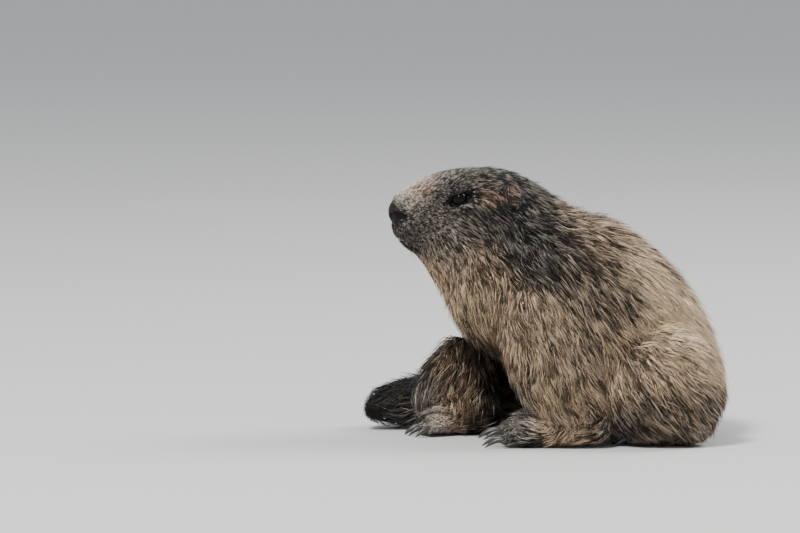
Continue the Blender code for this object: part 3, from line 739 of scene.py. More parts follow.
def ear_form(side):
    """A thin rounded cup that opens outward and forward."""
    centre = Vector(ear_place(side, EAR_STAND))
    turn = Matrix.Rotation(math.radians(side * EAR_YAW), 4, "Z")
    turn = turn @ Matrix.Rotation(math.radians(EAR_PITCH), 4, "Y")
    shell = linked("ear", mesh_of("ear", *ellipsoid(centre, EAR_SIZE, turn)))
    ahead, out, up = CUP_OFFSET
    opening = centre + turn.to_3x3() @ Vector((ahead, side * out, up))
    cup = linked("cup", mesh_of("cup", *ellipsoid(opening, CUP_SIZE, turn)))
    cut = shell.modifiers.new("cup", "BOOLEAN")
    cut.operation = "DIFFERENCE"
    cut.object = cup
    made = evaluated_mesh(shell)
    for obj in (shell, cup):
        bpy.data.objects.remove(obj)
    return points_of(made), corners_of(made)


def lid_form(side):
    """The rims of both lids, an almond laid over the front of the eyeball."""
    around, over = 64, 12
    a, o = np.divmod(np.arange(around * over), over)
    angle, roll = 2 * math.pi * a / around, 2 * math.pi * o / over
    x = np.cos(angle) * ALMOND[0]
    z = np.sin(angle) * ALMOND[1] * (0.78 + 0.22 * np.abs(np.sin(angle)))
    seat = np.sqrt(np.maximum(LID_SEAT**2 - x**2 - z**2, 0))
    middle = np.column_stack([x, side * np.maximum(seat, LID_CORNER), z])
    radius = np.where(np.sin(angle) > 0, UPPER_RIM, LOWER_RIM)
    outward = unit(np.column_stack([x, np.zeros_like(x), z])) * (np.cos(roll) * radius * 1.25)[:, None]
    points = middle + outward + np.outer(side * np.sin(roll) * radius, (0, 1, 0))
    turn = np.array(Matrix.Rotation(math.radians(-LID_TILT), 3, "Y"))
    n, m = (a + 1) % around, (o + 1) % over
    corners = [a * over + o, n * over + o, n * over + m, a * over + m]
    if side == RIGHT:
        corners = corners[::-1]
    faces = np.vstack([np.column_stack(corners[:3]), np.column_stack([corners[0], *corners[2:]])])
    return eye_centre(side) + points @ turn.T, faces


def skin_forms():
    """Every form of flesh, inside its coat."""
    forms = [loft(trunk_rings(), 0.6, 1)]
    for name, rows in LIMBS.items():
        depth = LIMB_COAT[name][1]
        forms.append(loft(path_rings(rows, 40, 5, -depth), LIMB_BULGE - depth, LIMB_BULGE - depth))
    for paw in PAWS.values():
        palm = path_rings(in_foot_frame(*paw[:2]), 32, 4, -PALM_COAT[1])
        forms.append(loft(palm, 4, 1.5))
        for toe_rows, _ in toe_paths(paw):
            forms.append(loft(path_rings(toe_rows, 20, 4, -0.9), 0, 2.4))
    for side in (LEFT, RIGHT):
        forms.append(ear_form(side))
    return forms


def relaxed(points, edges, weight, rounds):
    """The points drawn to the mean of their neighbours, each by its weight, several times over."""
    count = np.bincount(edges.ravel(), minlength=len(points))[:, None]
    for _ in range(rounds):
        total = np.zeros_like(points)
        for axis in range(3):
            total[:, axis] = np.bincount(edges[:, 0], points[edges[:, 1], axis], len(points))
            total[:, axis] += np.bincount(edges[:, 1], points[edges[:, 0], axis], len(points))
        points = points + (total / np.maximum(count, 1) - points) * weight[:, None]
    return points


def near(points, middle, reach):
    """A soft patch: 1 at its middle, falling away over its reach."""
    return np.exp(-(((points - np.array(middle)) / reach) ** 2).sum(axis=1))


def distance_to_route(points, route):
    """How far each point is from a line of straight runs."""
    best = np.full(len(points), 1e9)
    for a, b in zip(route, route[1:]):
        run = b - a
        share = np.clip((points - a) @ run / (run @ run), 0, 1)
        best = np.minimum(best, np.linalg.norm(points - a - share[:, None] * run, axis=1))
    return best


def mouth_route():
    """The line of the mouth from corner to corner, close to the skin."""
    left = [(x, side_of_trunk(x, z, LEFT) + 0.8, z) for x, z in reversed(MOUTH_SIDE)]
    right = [(x, side_of_trunk(x, z, RIGHT) - 0.8, z) for x, z in MOUTH_SIDE]
    return np.array(left + [MOUTH_FRONT] + right, float)


def sculpt_face(points, normals):
    """Lips, whisker pads, brows and the hollows before the eyes, moved in or out of the skin."""
    mouth = distance_to_route(points, mouth_route())
    out = LIP_HEIGHT * np.exp(-(((mouth - LIP_AWAY) / LIP_WIDTH) ** 2))
    out -= MOUTH_DEPTH * np.exp(-((mouth / MOUTH_WIDTH) ** 2))
    for side in (LEFT, RIGHT):
        for height, (x, y, z), reach in CHEEK_RELIEF:
            out += height * near(points, (x, side * y, z), reach)
        for height, place, reach in EYE_RELIEF:
            out += height * near(points, eye_centre(side) + place, reach)
    return points + normals * out[:, None]


def nares(points, side):
    """A soft patch over the hollow behind each nostril."""
    x, y, z = NARES_AT
    return near(points, (x, side * y, z), NARES_REACH)


def voxel_skin(grain):
    """All forms of flesh grown together into one surface of even quads."""
    raw = linked("raw_skin", mesh_of("raw_skin", *joined(skin_forms())))
    remesh = raw.modifiers.new("remesh", "REMESH")
    remesh.mode = "VOXEL"
    remesh.voxel_size = grain
    mesh = evaluated_mesh(raw)
    bpy.data.objects.remove(raw)
    return mesh


def put_points(mesh, points):
    mesh.vertices.foreach_set("co", to_scene(points).astype(np.float32).ravel())
    mesh.update()


def make_skin(settings):
    """All flesh as one skin: grown together, relaxed where the coat is long, sculpted, painted."""
    mesh = voxel_skin(settings.voxel)
    points = points_of(mesh)
    edges = read(mesh.edges, "vertices", 2, np.int32)
    length = COMB.values(points)[:, 4]
    points = relaxed(points, edges, np.clip((length - 3) / 12, 0.04, 0.6), RELAX_ROUNDS)
    points = relaxed(points, edges, np.full(len(points), 0.4), LAST_ROUNDS)
    put_points(mesh, points)
    points = sculpt_face(points, normals_of(mesh))
    points[:, 2] = np.maximum(points[:, 2], SKIN_FLOOR)
    put_points(mesh, points)
    mesh.polygons.foreach_set("use_smooth", np.ones(len(mesh.polygons), bool))
    skin = piece("skin", mesh, coat_material("skin", shine=0.08, grain=420, bump=0.5))
    add_lids(skin)
    unwrap(skin)
    paint_skin(skin)
    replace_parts(skin, *FLESH)


def unwrap(skin):
    """An unwrap of the skin's own shape, which the coat's tufts share."""
    skin.data.uv_layers.new(name="OFBake")
    bpy.context.view_layer.objects.active = skin
    skin.select_set(True)
    bpy.ops.object.mode_set(mode="EDIT")
    bpy.ops.mesh.select_all(action="SELECT")
    bpy.ops.uv.smart_project(angle_limit=math.radians(72), island_margin=0.002)
    bpy.ops.object.mode_set(mode="OBJECT")
    skin.select_set(False)


def add_lids(skin):
    """Joins the lids' rims to the skin's mesh."""
    edit = bmesh.new()
    edit.from_mesh(skin.data)
    for side in (LEFT, RIGHT):
        points, faces = lid_form(side)
        verts = [edit.verts.new(p) for p in to_scene(points)]
        for face in faces:
            edit.faces.new([verts[i] for i in face]).smooth = True
    edit.to_mesh(skin.data)
    edit.free()


def toned(colours, tone, share):
    """The colours drawn to one tone by a share at each point."""
    return colours * (1 - share[:, None]) + np.outer(share, tone)


def paint_skin(skin):
    """The coat's colours with their painted shade and highlight, darker between the tufts and with painted
    shade between the toes, then the tones of the bare places, with painted shade in the ear's hollow and
    over the nostrils' hollows.
    """
    points = points_of(skin.data)
    # Painted shade in the gaps between the toes darkens the skin there too.
    colours = markings_and_painted_light(points)[0] * (0.4 * shade_between_toes(points))[:, None]
    for side in (LEFT, RIGHT):
        past_lids = np.maximum(almond(points, side) - 1.06, 0)
        colours = toned(colours, LID_TONE, np.exp(-((past_lids / 0.16) ** 2)))
        # Painted shade, near black, over the hollow behind each nostril.
        colours = toned(colours, NARES_SHADE, np.clip(nares(points, side) * 2, 0, 1))
        # Painted shade in the hollow of the ear and at its base.
        colours = toned(colours, CUP_SHADE, 0.8 * near(points, ear_place(side, 3) - (2, 0, 1), (5, 4, 7)))
    away = distance_to_route(points, mouth_route())
    set_colours(skin.data, toned(colours, LIP_TONE, np.exp(-((away / 1.7) ** 2))))


def almond(points, side):
    """How far a point is from the eye's middle, measured so that the lids' rim is at 1."""
    x, y, z = eye_centre(side)
    tilt = math.radians(LID_TILT)
    dx, dz = points[:, 0] - x, points[:, 2] - z
    along = dx * math.cos(tilt) + dz * math.sin(tilt)
    high = dz * math.cos(tilt) - dx * math.sin(tilt)
    far = np.abs(points[:, 1] - y) > 14
    return np.hypot(along / ALMOND[0], high / ALMOND[1]) + far * 50


# Lie, length and colour of the coat

class Comb:
    """The coat's way, depth, length and kind at any place, blended from the rings of the forms."""

    def __init__(self):
        self.places, self.facts, self.slots = [], [], []
        rings = trunk_rings(0.6, 2, 40)
        coat = {key: np.interp(np.arange(len(rings)) / 2, TRUNK_COAT["row"], values)
                for key, values in TRUNK_COAT.items()}
        for i, ring in enumerate(rings):
            ahead = rings[min(i + 1, len(rings) - 1)] - rings[max(i - 1, 0)]
            kind = "coat_head" if i <= 2 * HEAD_ROWS else "coat_body"
            sizes = (coat["depth"][i], coat["length"][i], coat["stand"][i], coat["droop"][i])
            self.add(ring, ahead, *sizes, kind)
        for name, rows in LIMBS.items():
            self.add_path(path_rings(rows, 24, 3, -LIMB_COAT[name][1] / 2), *LIMB_COAT[name])
        for paw in PAWS.values():
            palm = path_rings(in_foot_frame(*paw[:2]), 16, 2, -0.6)
            heel = len(palm) // 2
            self.add_path(palm[:heel], *HEEL_COAT)
            self.add_path(palm[heel:], *PALM_COAT)
            for toe_rows, _ in toe_paths(paw):
                self.add_path(path_rings(toe_rows, 8, 2), *TOE_COAT)
        for side in (LEFT, RIGHT):
            points = ellipsoid(ear_place(side, 4), EAR_SIZE, detail=12)[0]
            points = points[points[:, 1] * side > 45]
            self.add(points, np.array((0.35, side * 0.4, 1)), *EAR_COAT)
        self.places = np.vstack(self.places)
        self.facts = np.vstack(self.facts)
        self.tree = KDTree(len(self.places))
        for i, place in enumerate(self.places):
            self.tree.insert(place, i)
        self.tree.balance()

    def add_path(self, rings, slot, *sizes):
        for i, ring in enumerate(rings):
            ahead = rings[min(i + 1, len(rings) - 1)].mean(0) - rings[max(i - 1, 0)].mean(0)
            self.add(ring, ahead, *sizes, slot)

    def add(self, ring, ahead, depth, length, stand, droop, slot):
        ways = unit(np.broadcast_to(ahead, ring.shape)) - np.array((0, 0, droop))
        self.places.append(ring)
        sizes = np.broadcast_to((depth, length, stand), (len(ring), 3))
        self.facts.append(np.hstack([unit(ways), sizes]))
        self.slots += [slot] * len(ring)

    def values(self, points):
        """Way (three numbers), depth, length and how far tips stand off at each point."""
        made = np.empty((len(points), 6))
        for i, point in enumerate(points):
            found = self.tree.find_n(point, NEIGHBOURS)
            weights = np.array([1 / (d * d + SOFTNESS) for _, _, d in found])
            made[i] = weights @ self.facts[[f[1] for f in found]] / weights.sum()
        made[:, :3] = unit(made[:, :3])
        return made

    def slot_of(self, points):
        return np.array([self.slots[self.tree.find(point)[1]] for point in points])


COMB = Comb()


def markings_and_painted_light(points):
    """The coat's colour with its painted shade and highlight, share of pale tips and share of dark tips at
    each point.
    """
    total = np.zeros((len(points), 1))
    made = np.zeros((len(points), 5))
    for tone, x, y, z, reach, strength in MARKINGS_AND_PAINTED_LIGHT:
        places = points.copy()
        if y < 0 and not (tone in ONE_SIDED and z < LOW):
            places[:, 1] = -np.abs(places[:, 1])
        weight = strength * near(places, (x, y, z), reach)[:, None] + 1e-7
        colour, pale, dark = TONES[tone]
        made += weight * np.array((*colour, pale, dark))
        total += weight
    made /= total
    return made[:, :3], made[:, 3], made[:, 4]


# Coat

def root_chance(middles, facing):
    """How likely a root is on each triangle: likelier in a short coat, and never on bare places."""
    area = np.linalg.norm(facing, axis=1) / 2
    step = 5
    length = COMB.values(middles[::step])[:, 4].repeat(step)[:len(middles)]
    chance = area / np.clip(length, 4.5, 30)
    chance[length < SHORT] *= 0.9
    underneath = (facing[:, 2] < -0.3 * area) & (middles[:, 2] < 12)
    chance[underneath] *= 0.25
    chance[middles[:, 2] < LOWEST] = 0
    for side in (LEFT, RIGHT):
        chance[almond(middles, side) < 1.16] = 0
        chance[nares(middles, side) > 0.5] = 0
    pad = (((middles - np.array(NOSE_PAD_AT)) / (np.array(NOSE_PAD_SIZE) + 0.4)) ** 2).sum(axis=1)
    chance[pad < 1] = 0
    chance[distance_to_route(middles, mouth_route()) < LIP] = 0
    return chance


def pick_roots(skin, count, drawn):
    """Roots spread over the skin, denser where the coat is short, with their normals and UVs."""
    mesh = skin.data
    corners = corners_of(mesh)
    loops = corners_of(mesh, "loops")
    uvs = read(mesh.uv_layers["OFBake"].data, "uv", 2)
    points = points_of(mesh)
    normals = normals_of(mesh)
    a, b, c = (points[corners[:, i]] for i in range(3))
    chance = root_chance((a + b + c) / 3, np.cross(b - a, c - a))
    chosen = np.searchsorted(np.cumsum(chance) / chance.sum(), drawn.random(count))
    share = drawn.random((count, 2))
    flip = share.sum(axis=1) > 1
    share[flip] = 1 - share[flip]
    weights = np.column_stack([1 - share.sum(axis=1), share])[:, :, None]
    roots = (points[corners[chosen]] * weights).sum(axis=1)
    root_normals = unit((normals[corners[chosen]] * weights).sum(axis=1))
    root_uvs = (uvs[loops[chosen]] * weights).sum(axis=1)
    tree = surface_tree(points, corners)
    return roots, root_normals, root_uvs, tree


def clump_of(roots, short, drawn):
    """The clump leader of each tuft: a root near it that its tips lean to."""
    leaders = np.flatnonzero(drawn.random(len(roots)) * np.where(short, CLUMP_SHORT, CLUMP_LONG) < 1)
    tree = KDTree(len(leaders))
    for i, leader in enumerate(leaders):
        tree.insert(roots[leader], int(leader))
    tree.balance()
    return np.array([tree.find(root)[1] for root in roots])


def lay_tufts(roots, normals, tree, settings, drawn):
    """Middle and tip of each tuft, laid along the coat over the skin and leaned to its clump."""
    facts = COMB.values(roots)
    count = len(roots)
    depth, length = facts[:, 3], facts[:, 4] * settings.length * drawn.uniform(0.7, 1.15, count)
    for side in (LEFT, RIGHT):
        length *= np.clip((almond(roots, side) - 0.8) / 1.4, 0.3, 1)
        low = np.clip(near(roots, ear_place(side, EAR_STAND), (13, 10, 15)) * 2 - 0.6, 0, 1)
        length *= 1 - 0.55 * low
        facts[:, 5] *= 1 - 0.8 * low
    length *= np.clip(distance_to_route(roots, mouth_route()) / 5, 0.35, 1)
    guard = drawn.random(count) < GUARD_SHARE
    length[guard] *= GUARD_LENGTH
    way = facts[:, :3] + drawn.normal(0, STRAY, (count, 3))
    swirl = sum(np.sin(roots @ np.array(wave)) for wave in WAVES)
    way += np.cross(normals, facts[:, :3]) * swirl[:, None] * WAVE_TURN
    way = unit(way - normals * (way * normals).sum(axis=1, keepdims=True))
    rise = depth * drawn.uniform(0.5, 1.0, count) + 0.3 + facts[:, 5] * drawn.random(count) ** 1.7
    rise[guard] += facts[guard, 5] * GUARD_STAND
    middles, tips = np.empty_like(roots), np.empty_like(roots)
    for i in range(count):
        place, normal, _, _ = tree.find_nearest(roots[i] + way[i] * length[i] * HALFWAY)
        step = Vector(way[i])
        step = (step - normal * step.dot(normal)).normalized()
        middles[i] = place + normal * rise[i] * 0.6
        place, normal, _, _ = tree.find_nearest(place + step * length[i] * (1 - HALFWAY))
        tips[i] = place + normal * rise[i]
    leader = clump_of(roots, facts[:, 4] < SHORT, drawn)
    pull = settings.clump * drawn.uniform(0.6, 1.2, count) * np.interp(length, (5, 14), (0.3, 1))
    pull[guard] *= GUARD_PULL
    middles += (middles[leader] - middles) * (pull * 0.35)[:, None]
    tips += (tips[leader] - tips) * pull[:, None]
    return middles, tips, facts, leader, guard


def tuft_colours(places, leader, drawn):
    """Dark roots, coloured middles, and tips that are pale in some clumps and dark in others."""
    colour, pale, dark = markings_and_painted_light(places)
    count = len(places)
    bright = drawn.uniform(*CLUMPS_VARY, count)[leader] * drawn.uniform(*TUFTS_VARY, count)
    # Painted shade in the gaps between the toes.
    bright = bright * shade_between_toes(places) * beside_mouth(places)
    colour = colour * bright[:, None]
    shared = drawn.random(count)[leader]
    draw = np.where(drawn.random(count) < ALIKE, shared, drawn.random(count))
    is_pale = (draw < pale)[:, None]
    is_dark = (draw > 1 - dark)[:, None]
    colour = colour * LIFT
    tip = np.where(is_pale, colour * 1.5 + np.array(PALE), colour)
    tip = tip * np.minimum(BRIGHTEST / tip.max(axis=1, keepdims=True), 1)
    tip = np.where(is_dark, colour * DARK_TIP, tip)
    under = np.interp(colour.mean(axis=1), (0.6, 0.95), (0.42, 0.8))[:, None]
    middle = np.where(is_dark, colour * DARK_TIP, colour * under)
    middle = np.where(is_pale, colour * 0.4 + tip * 0.25, middle)
    return colour * ROOT, middle, tip


def beside_mouth(points):
    """How bright the coat is beside the mouth: dark along the lips."""
    away = distance_to_route(points, mouth_route())
    return 1 - 0.95 * np.exp(-((away / 2.1) ** 2)) + 0.3 * np.exp(-(((away - 4.6) / 1.6) ** 2))


def shade_between_toes(points):
    """Painted shade around the toes: how bright the coat is there, dark in the gaps from one to the next.
    """
    bright = np.ones(len(points))
    for paw in PAWS.values():
        rows, place = paw[:2]
        axes = [np.array(toe)[:, :3] for toe, _ in toe_paths(paw)]
        away = np.min([distance_to_route(points, axis) for axis in axes], axis=0)
        ahead = np.array(in_foot_frame([(rows[-1][0] + 6, 0, 8)], place)[0])
        close = near(points, ahead, 15)
        bright -= 0.75 * close * np.clip((away - 3.6) / 1.6, 0, 1)
    return bright


def tuft_mesh(name, bent, roots, middles, tips, normals, width, uvs, colours):
    """Three-sided closed tufts that taper to a point, as one mesh; the bent ones have a ring halfway."""
    way = unit(tips - roots)
    side = unit(np.cross(way, normals))
    up = np.cross(side, way)
    base = roots - normals * 0.5
    low, high = [], []
    for turn in np.radians((90, 210, 330)):
        out = (side * math.cos(turn) + up * math.sin(turn) * 0.7) * width[:, None] / 2
        low.append(base + out * (0.8 if bent else 1.5))
        high.append(middles + out)
    root, middle, tip = colours
    halfway, halfway_tones = (high, [middle] * 3) if bent else ([], [])
    points, tones = [*low, *halfway, tips], [root] * 3 + halfway_tones + [tip]
    shape, patch = (BENT, PATCH) if bent else (STRAIGHT, PATCH[[0, 1, 2, 6]])
    faces = (shape[None] + np.arange(len(roots))[:, None, None] * len(points)).reshape(-1, 3)
    mesh = mesh_of(name, np.stack(points, 1).reshape(-1, 3), faces)
    set_colours(mesh, np.stack(tones, 1).reshape(-1, 3))
    corner_uvs = (uvs[:, None] + patch[None]).reshape(-1, 2)[faces.ravel()]
    layer = mesh.uv_layers.new(name="OFBake")
    layer.data.foreach_set("uv", corner_uvs.astype(np.float32).ravel())
    return mesh


def make_coat(settings):
    """The coat, cut into pieces by slot and, from the nose backwards, by their number of triangles."""
    drawn = np.random.default_rng(settings.seed)
    count = settings.tufts
    roots, normals, uvs, tree = pick_roots(bpy.data.objects["skin"], count, drawn)
    middles, tips, facts, leader, guard = lay_tufts(roots, normals, tree, settings, drawn)
    colours = tuft_colours((middles + tips) / 2, leader, drawn)
    middles[:, 2] = np.maximum(middles[:, 2], MIDDLE_FLOOR)
    tips[:, 2] = np.maximum(tips[:, 2], TIP_FLOOR)
    width = settings.width * np.interp(facts[:, 4], (2, 6, 20), (0.62, 0.8, 1))
    width = width * drawn.uniform(0.75, 1.25, count) * np.where(guard, GUARD_WIDTH, 1)
    slots = COMB.slot_of(roots)
    long = (facts[:, 4] > SHORT) | np.isin(slots, BUSHY)
    material = coat_material("coat", shine=0.28, grain=900, bump=0.2)
    for slot in sorted(set(slots)):
        number = 0
        for bent in (True, False):
            members = np.flatnonzero((slots == slot) & (long == bent))
            if not len(members):
                continue
            members = members[np.argsort(roots[members, 0], kind="stable")]
            faces = len(members) * len(BENT if bent else STRAIGHT)
            for some in np.array_split(members, math.ceil(faces / FACES_A_PIECE)):
                number += 1
                places = [values[some] for values in (roots, middles, tips, normals, width, uvs)]
                mesh = tuft_mesh(f"{slot}_{number}", bent, *places, [tones[some] for tones in colours])
                piece(mesh.name, mesh, material)


# Eyes, nose, claws and whiskers

def make_eyes(settings):
    material = eye_material()
    for side, name in ((LEFT, "eye_left"), (RIGHT, "eye_right")):
        points, faces = ellipsoid((0, 0, 0), (EYE_RADIUS,) * 3, Matrix.Rotation(math.pi / 2, 4, "X"), 64)
        ahead = points[:, 1] * side
        off = np.hypot(points[:, 0], points[:, 2])
        cornea = np.exp(-((off / CORNEA) ** 2)) * (ahead > 0)
        points = points * (1 + CORNEA_RISE * cornea)[:, None]
        iris, pupil = (np.clip((radius - off) / EDGE, 0, 1) * (ahead > 0) for radius in (IRIS, PUPIL))
        colours = toned(np.full((len(points), 3), BALL_TONE), settings.eye_colour, iris * (1 - pupil))
        mesh = mesh_of(f"{name}_ball", points + eye_centre(side), faces)
        set_colours(mesh, colours)
        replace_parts(piece(f"{name}_ball", mesh, material), name)


def make_nose(settings):
    """The bare nose, with a groove down its middle and a comma-shaped nostril on each side."""
    edit = bmesh.new()
    bmesh.ops.create_icosphere(edit, subdivisions=6, radius=1)
    ball, faces = arrays_of(edit)
    points = ball * NOSE_PAD_SIZE
    front = np.clip(-ball[:, 0] * 2, 0, 1)
    out = -1.1 * np.exp(-((points[:, 1] / 0.9) ** 2)) * front * np.clip(0.6 - ball[:, 2], 0, 1)
    holes = np.zeros(len(points))
    for side in (LEFT, RIGHT):
        x, y, z = NOSTRIL[0], NOSTRIL[1] * side, NOSTRIL[2]
        hole = near(points, (x, y, z), (4, 3.6, 2.7))
        hole = np.maximum(hole, near(points, (x + 2.8, y + side * 2.9, z + 1.7), (3, 2.6, 1.6)))
        holes = np.maximum(holes, np.clip(hole * 1.8 - 0.3, 0, 1))
        out += 1.2 * near(points, (x + 1, y + side * 1, z + 4.4), (4.4, 4, 2))
        out += 0.6 * near(points, (x, y, z - 4), (4, 4, 2))
    points = points + ball * (out - 3.8 * holes)[:, None]
    mesh = mesh_of("nose_pad", points + np.array(NOSE_PAD_AT), faces)
    # The nostrils are painted nearly black: painted shade inside them.
    set_colours(mesh, np.outer(1 - 0.93 * holes, settings.nose_colour))
    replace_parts(piece("nose_pad", mesh, nose_material()), "nose")


def make_claws(settings):
    material = claw_material(settings)
    for name, paw in PAWS.items():
        forms = [loft(path_rings(claw_rows, 16, 8), 0, 0.3) for _, claw_rows in toe_paths(paw)]
        mesh = mesh_of(f"claws_{name}", *joined(forms))
        names = [f"claw_{name}_{number + 1}" for number in range(len(forms))]
        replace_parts(piece(f"claws_{name}", mesh, material), *names)


def whisker_tree(material, sizes):
    """A node tree that sets a tapered, bent whisker on every point of a mesh and turns it its way."""
    tree = bpy.data.node_groups.new("whiskers", "GeometryNodeTree")
    tree.interface.new_socket("Geometry", in_out="INPUT", socket_type="NodeSocketGeometry")
    identifiers = {}
    for label, value in sizes.items():
        socket = tree.interface.new_socket(label, in_out="INPUT", socket_type="NodeSocketFloat")
        socket.default_value = value
        identifiers[label] = socket.identifier
    tree.interface.new_socket("Geometry", in_out="OUTPUT", socket_type="NodeSocketGeometry")

    def made(kind, output, inputs=None, **settings):
        return add_node(tree, kind, inputs, **settings).outputs[output]

    given = add_node(tree, "NodeGroupInput").outputs
    length = given["Length"]
    half = made("ShaderNodeMath", 0, {0: length, 1: 0.5}, operation="MULTIPLY")
    aside = made("ShaderNodeMath", 0, {0: length, 1: given["Bend"]}, operation="MULTIPLY")
    middle = made("ShaderNodeCombineXYZ", 0, {"Z": half})
    end = made("ShaderNodeCombineXYZ", 0, {"X": aside, "Z": length})
    path = {"Resolution": 10, "Start": (0, 0, 0), "Middle": middle, "End": end}
    hair = made("GeometryNodeCurveQuadraticBezier", 0, path)
    taper = mapped(tree, made("GeometryNodeSplineParameter", "Factor"), 1, 0.15)
    circle = {"Resolution": 6, "Radius": given["Thickness"]}
    ring = made("GeometryNodeCurvePrimitiveCircle", "Curve", circle)
    tube = {"Curve": hair, "Profile Curve": ring, "Fill Caps": True, "Scale": taper}
    whisker = made("GeometryNodeCurveToMesh", "Mesh", tube)
    way = made("GeometryNodeInputNamedAttribute", "Attribute", {"Name": "way"}, data_type="FLOAT_VECTOR")
    share = made("GeometryNodeInputNamedAttribute", "Attribute", {"Name": "share"}, data_type="FLOAT")
    turn = made("FunctionNodeAlignRotationToVector", "Rotation", {"Vector": way}, axis="Z")
    spread = {"Points": given["Geometry"], "Instance": whisker, "Rotation": turn, "Scale": share}
    instances = made("GeometryNodeInstanceOnPoints", "Instances", spread)
    real = made("GeometryNodeRealizeInstances", "Geometry", {"Geometry": instances})
    finish = {"Geometry": real, "Material": material}
    finished = made("GeometryNodeSetMaterial", "Geometry", finish)
    add_node(tree, "NodeGroupOutput", {"Geometry": finished})
    return tree, identifiers


def make_whiskers(settings):
    drawn = np.random.default_rng(WHISKER_SEED)
    skin = bpy.data.objects["skin"].data
    tree = surface_tree(points_of(skin), corners_of(skin))
    places, ways, shares = [], [], []
    for side in (LEFT, RIGHT):
        for i in range(settings.whiskers):
            column, row = divmod(i, WHISKER_ROWS)
            x, z = FIRST_WHISKER
            spot = Vector((x + 3.2 * column + 0.8 * row, side * 40, z - 3 * row + column))
            hit, normal, _, _ = tree.ray_cast(spot, Vector((0, -side, 0)))
            places.append(tuple(hit - normal * 0.6))
            back, down = 0.15 + 0.16 * column + drawn.normal(0, 0.06), 0.42 + 0.16 * row - 0.1 * column
            ways.append((back, side, -down))
            shares.append(drawn.uniform(0.55, 1))
    mesh = bpy.data.meshes.new("whisker_roots")
    mesh.from_pydata([tuple(place) for place in to_scene(places)], [], [])
    mesh.attributes.new("way", "FLOAT_VECTOR", "POINT").data.foreach_set("vector", np.array(ways).ravel())
    mesh.attributes.new("share", "FLOAT", "POINT").data.foreach_set("value", np.array(shares))
    roots = linked("whisker_roots", mesh)
    material = whisker_material()
    sizes = {"Length": settings.whisker_length, "Thickness": WHISKER_THICKNESS, "Bend": WHISKER_BEND}
    group, identifiers = whisker_tree(material, sizes)
    grow = roots.modifiers.new("whiskers", "NODES")
    grow.node_group = group
    for label, value in sizes.items():
        grow[identifiers[label]] = value
    made = evaluated_mesh(roots)
    roots.modifiers.clear()
    bpy.data.objects.remove(roots)
    piece("whiskers", made, material)


# Materials

def shader_of(name):
    material = bpy.data.materials.new(name)
    material.use_nodes = True
    return material, material.node_tree, material.node_tree.nodes["Principled BSDF"]


def feed(tree, node, inputs):
    """Sets a node's inputs to values, and joins those that are given a socket."""
    for name, value in inputs.items():
        if isinstance(value, bpy.types.NodeSocket):
            tree.links.new(value, node.inputs[name])
        else:
            node.inputs[name].default_value = value


def add_node(tree, kind, inputs=None, **settings):
    """A new node with its settings and its inputs."""
    node = tree.nodes.new(kind)
    for name, value in settings.items():
        setattr(node, name, value)
    feed(tree, node, inputs or {})
    return node


def noise_on(tree, scale, detail=3.0):
    """Noise over the piece's own coordinates."""
    place = add_node(tree, "ShaderNodeTexCoord").outputs["Object"]
    inputs = {"Vector": place, "Scale": scale, "Detail": detail}
    return add_node(tree, "ShaderNodeTexNoise", inputs).outputs["Fac"]


def mapped(tree, source, low, high):
    """A source from 0 to 1, spread from low to high."""
    inputs = {"Value": source, "To Min": low, "To Max": high}
    return add_node(tree, "ShaderNodeMapRange", inputs).outputs["Result"]


def varied_colour(tree, noise, low, high, colour=None):
    """The points' colour attribute, painted shade and highlight included, or a colour, made lighter and
    darker by the noise.
    """
    if colour is None:
        base = add_node(tree, "ShaderNodeAttribute", attribute_name="markings_and_painted_light").outputs["Color"]
    else:
        base = (*colour, 1)
    inputs = {"Factor": 1, "A": base, "B": mapped(tree, noise, low, high)}
    mix = add_node(tree, "ShaderNodeMix", inputs, data_type="RGBA", blend_type="MULTIPLY")
    return mix.outputs["Result"]


def bumped(tree, height, strength, distance):
    inputs = {"Height": height, "Strength": strength, "Distance": distance}
    return add_node(tree, "ShaderNodeBump", inputs).outputs["Normal"]


def coat_material(name, shine, grain, bump):
    """Hair or haired skin, coloured by the points' colours with their painted shade and highlight."""
    material, tree, shader = shader_of(name)
    noise = noise_on(tree, grain)
    feed(tree, shader, {
        "Base Color": varied_colour(tree, noise, 0.72, 1.28),
        "Roughness": 0.62,
        "Specular IOR Level": shine,
        "Normal": bumped(tree, noise, bump, 0.0004),
    })
    return material


def eye_material():
    material, tree, shader = shader_of("eye_wet")
    feed(tree, shader, {
        "Base Color": varied_colour(tree, noise_on(tree, 1600), 0.6, 1.4),
        "Roughness": 0.04,
        "Specular IOR Level": 0.1,
    })
    return material


def nose_material():
    """Fine-grained damp skin, with pebbles in its relief."""
    material, tree, shader = shader_of("nose_leather")
    place = add_node(tree, "ShaderNodeTexCoord").outputs["Object"]
    pebbles = add_node(tree, "ShaderNodeTexVoronoi", {"Vector": place, "Scale": 1500})
    noise = noise_on(tree, 300)
    feed(tree, shader, {
        "Base Color": varied_colour(tree, noise, 0.6, 1.6),
        "Roughness": mapped(tree, noise, 0.4, 0.62),
        "Specular IOR Level": 0.08,
        "Normal": bumped(tree, pebbles.outputs["Distance"], 0.5, 0.00025),
    })
    return material


def claw_material(settings):
    material, tree, shader = shader_of("claw_horn")
    streaks = noise_on(tree, 260, 6)
    feed(tree, shader, {
        "Base Color": varied_colour(tree, streaks, 0.45, 1.9, settings.claw_colour),
        "Roughness": mapped(tree, streaks, 0.25, 0.5),
        "Normal": bumped(tree, streaks, 0.3, 0.0002),
    })
    return material


def whisker_material():
    material, tree, shader = shader_of("whisker")
    colour = varied_colour(tree, noise_on(tree, 90), 0.5, 1.6, WHISKER_COLOUR)
    feed(tree, shader, {"Base Color": colour, "Roughness": 0.4})
    return material


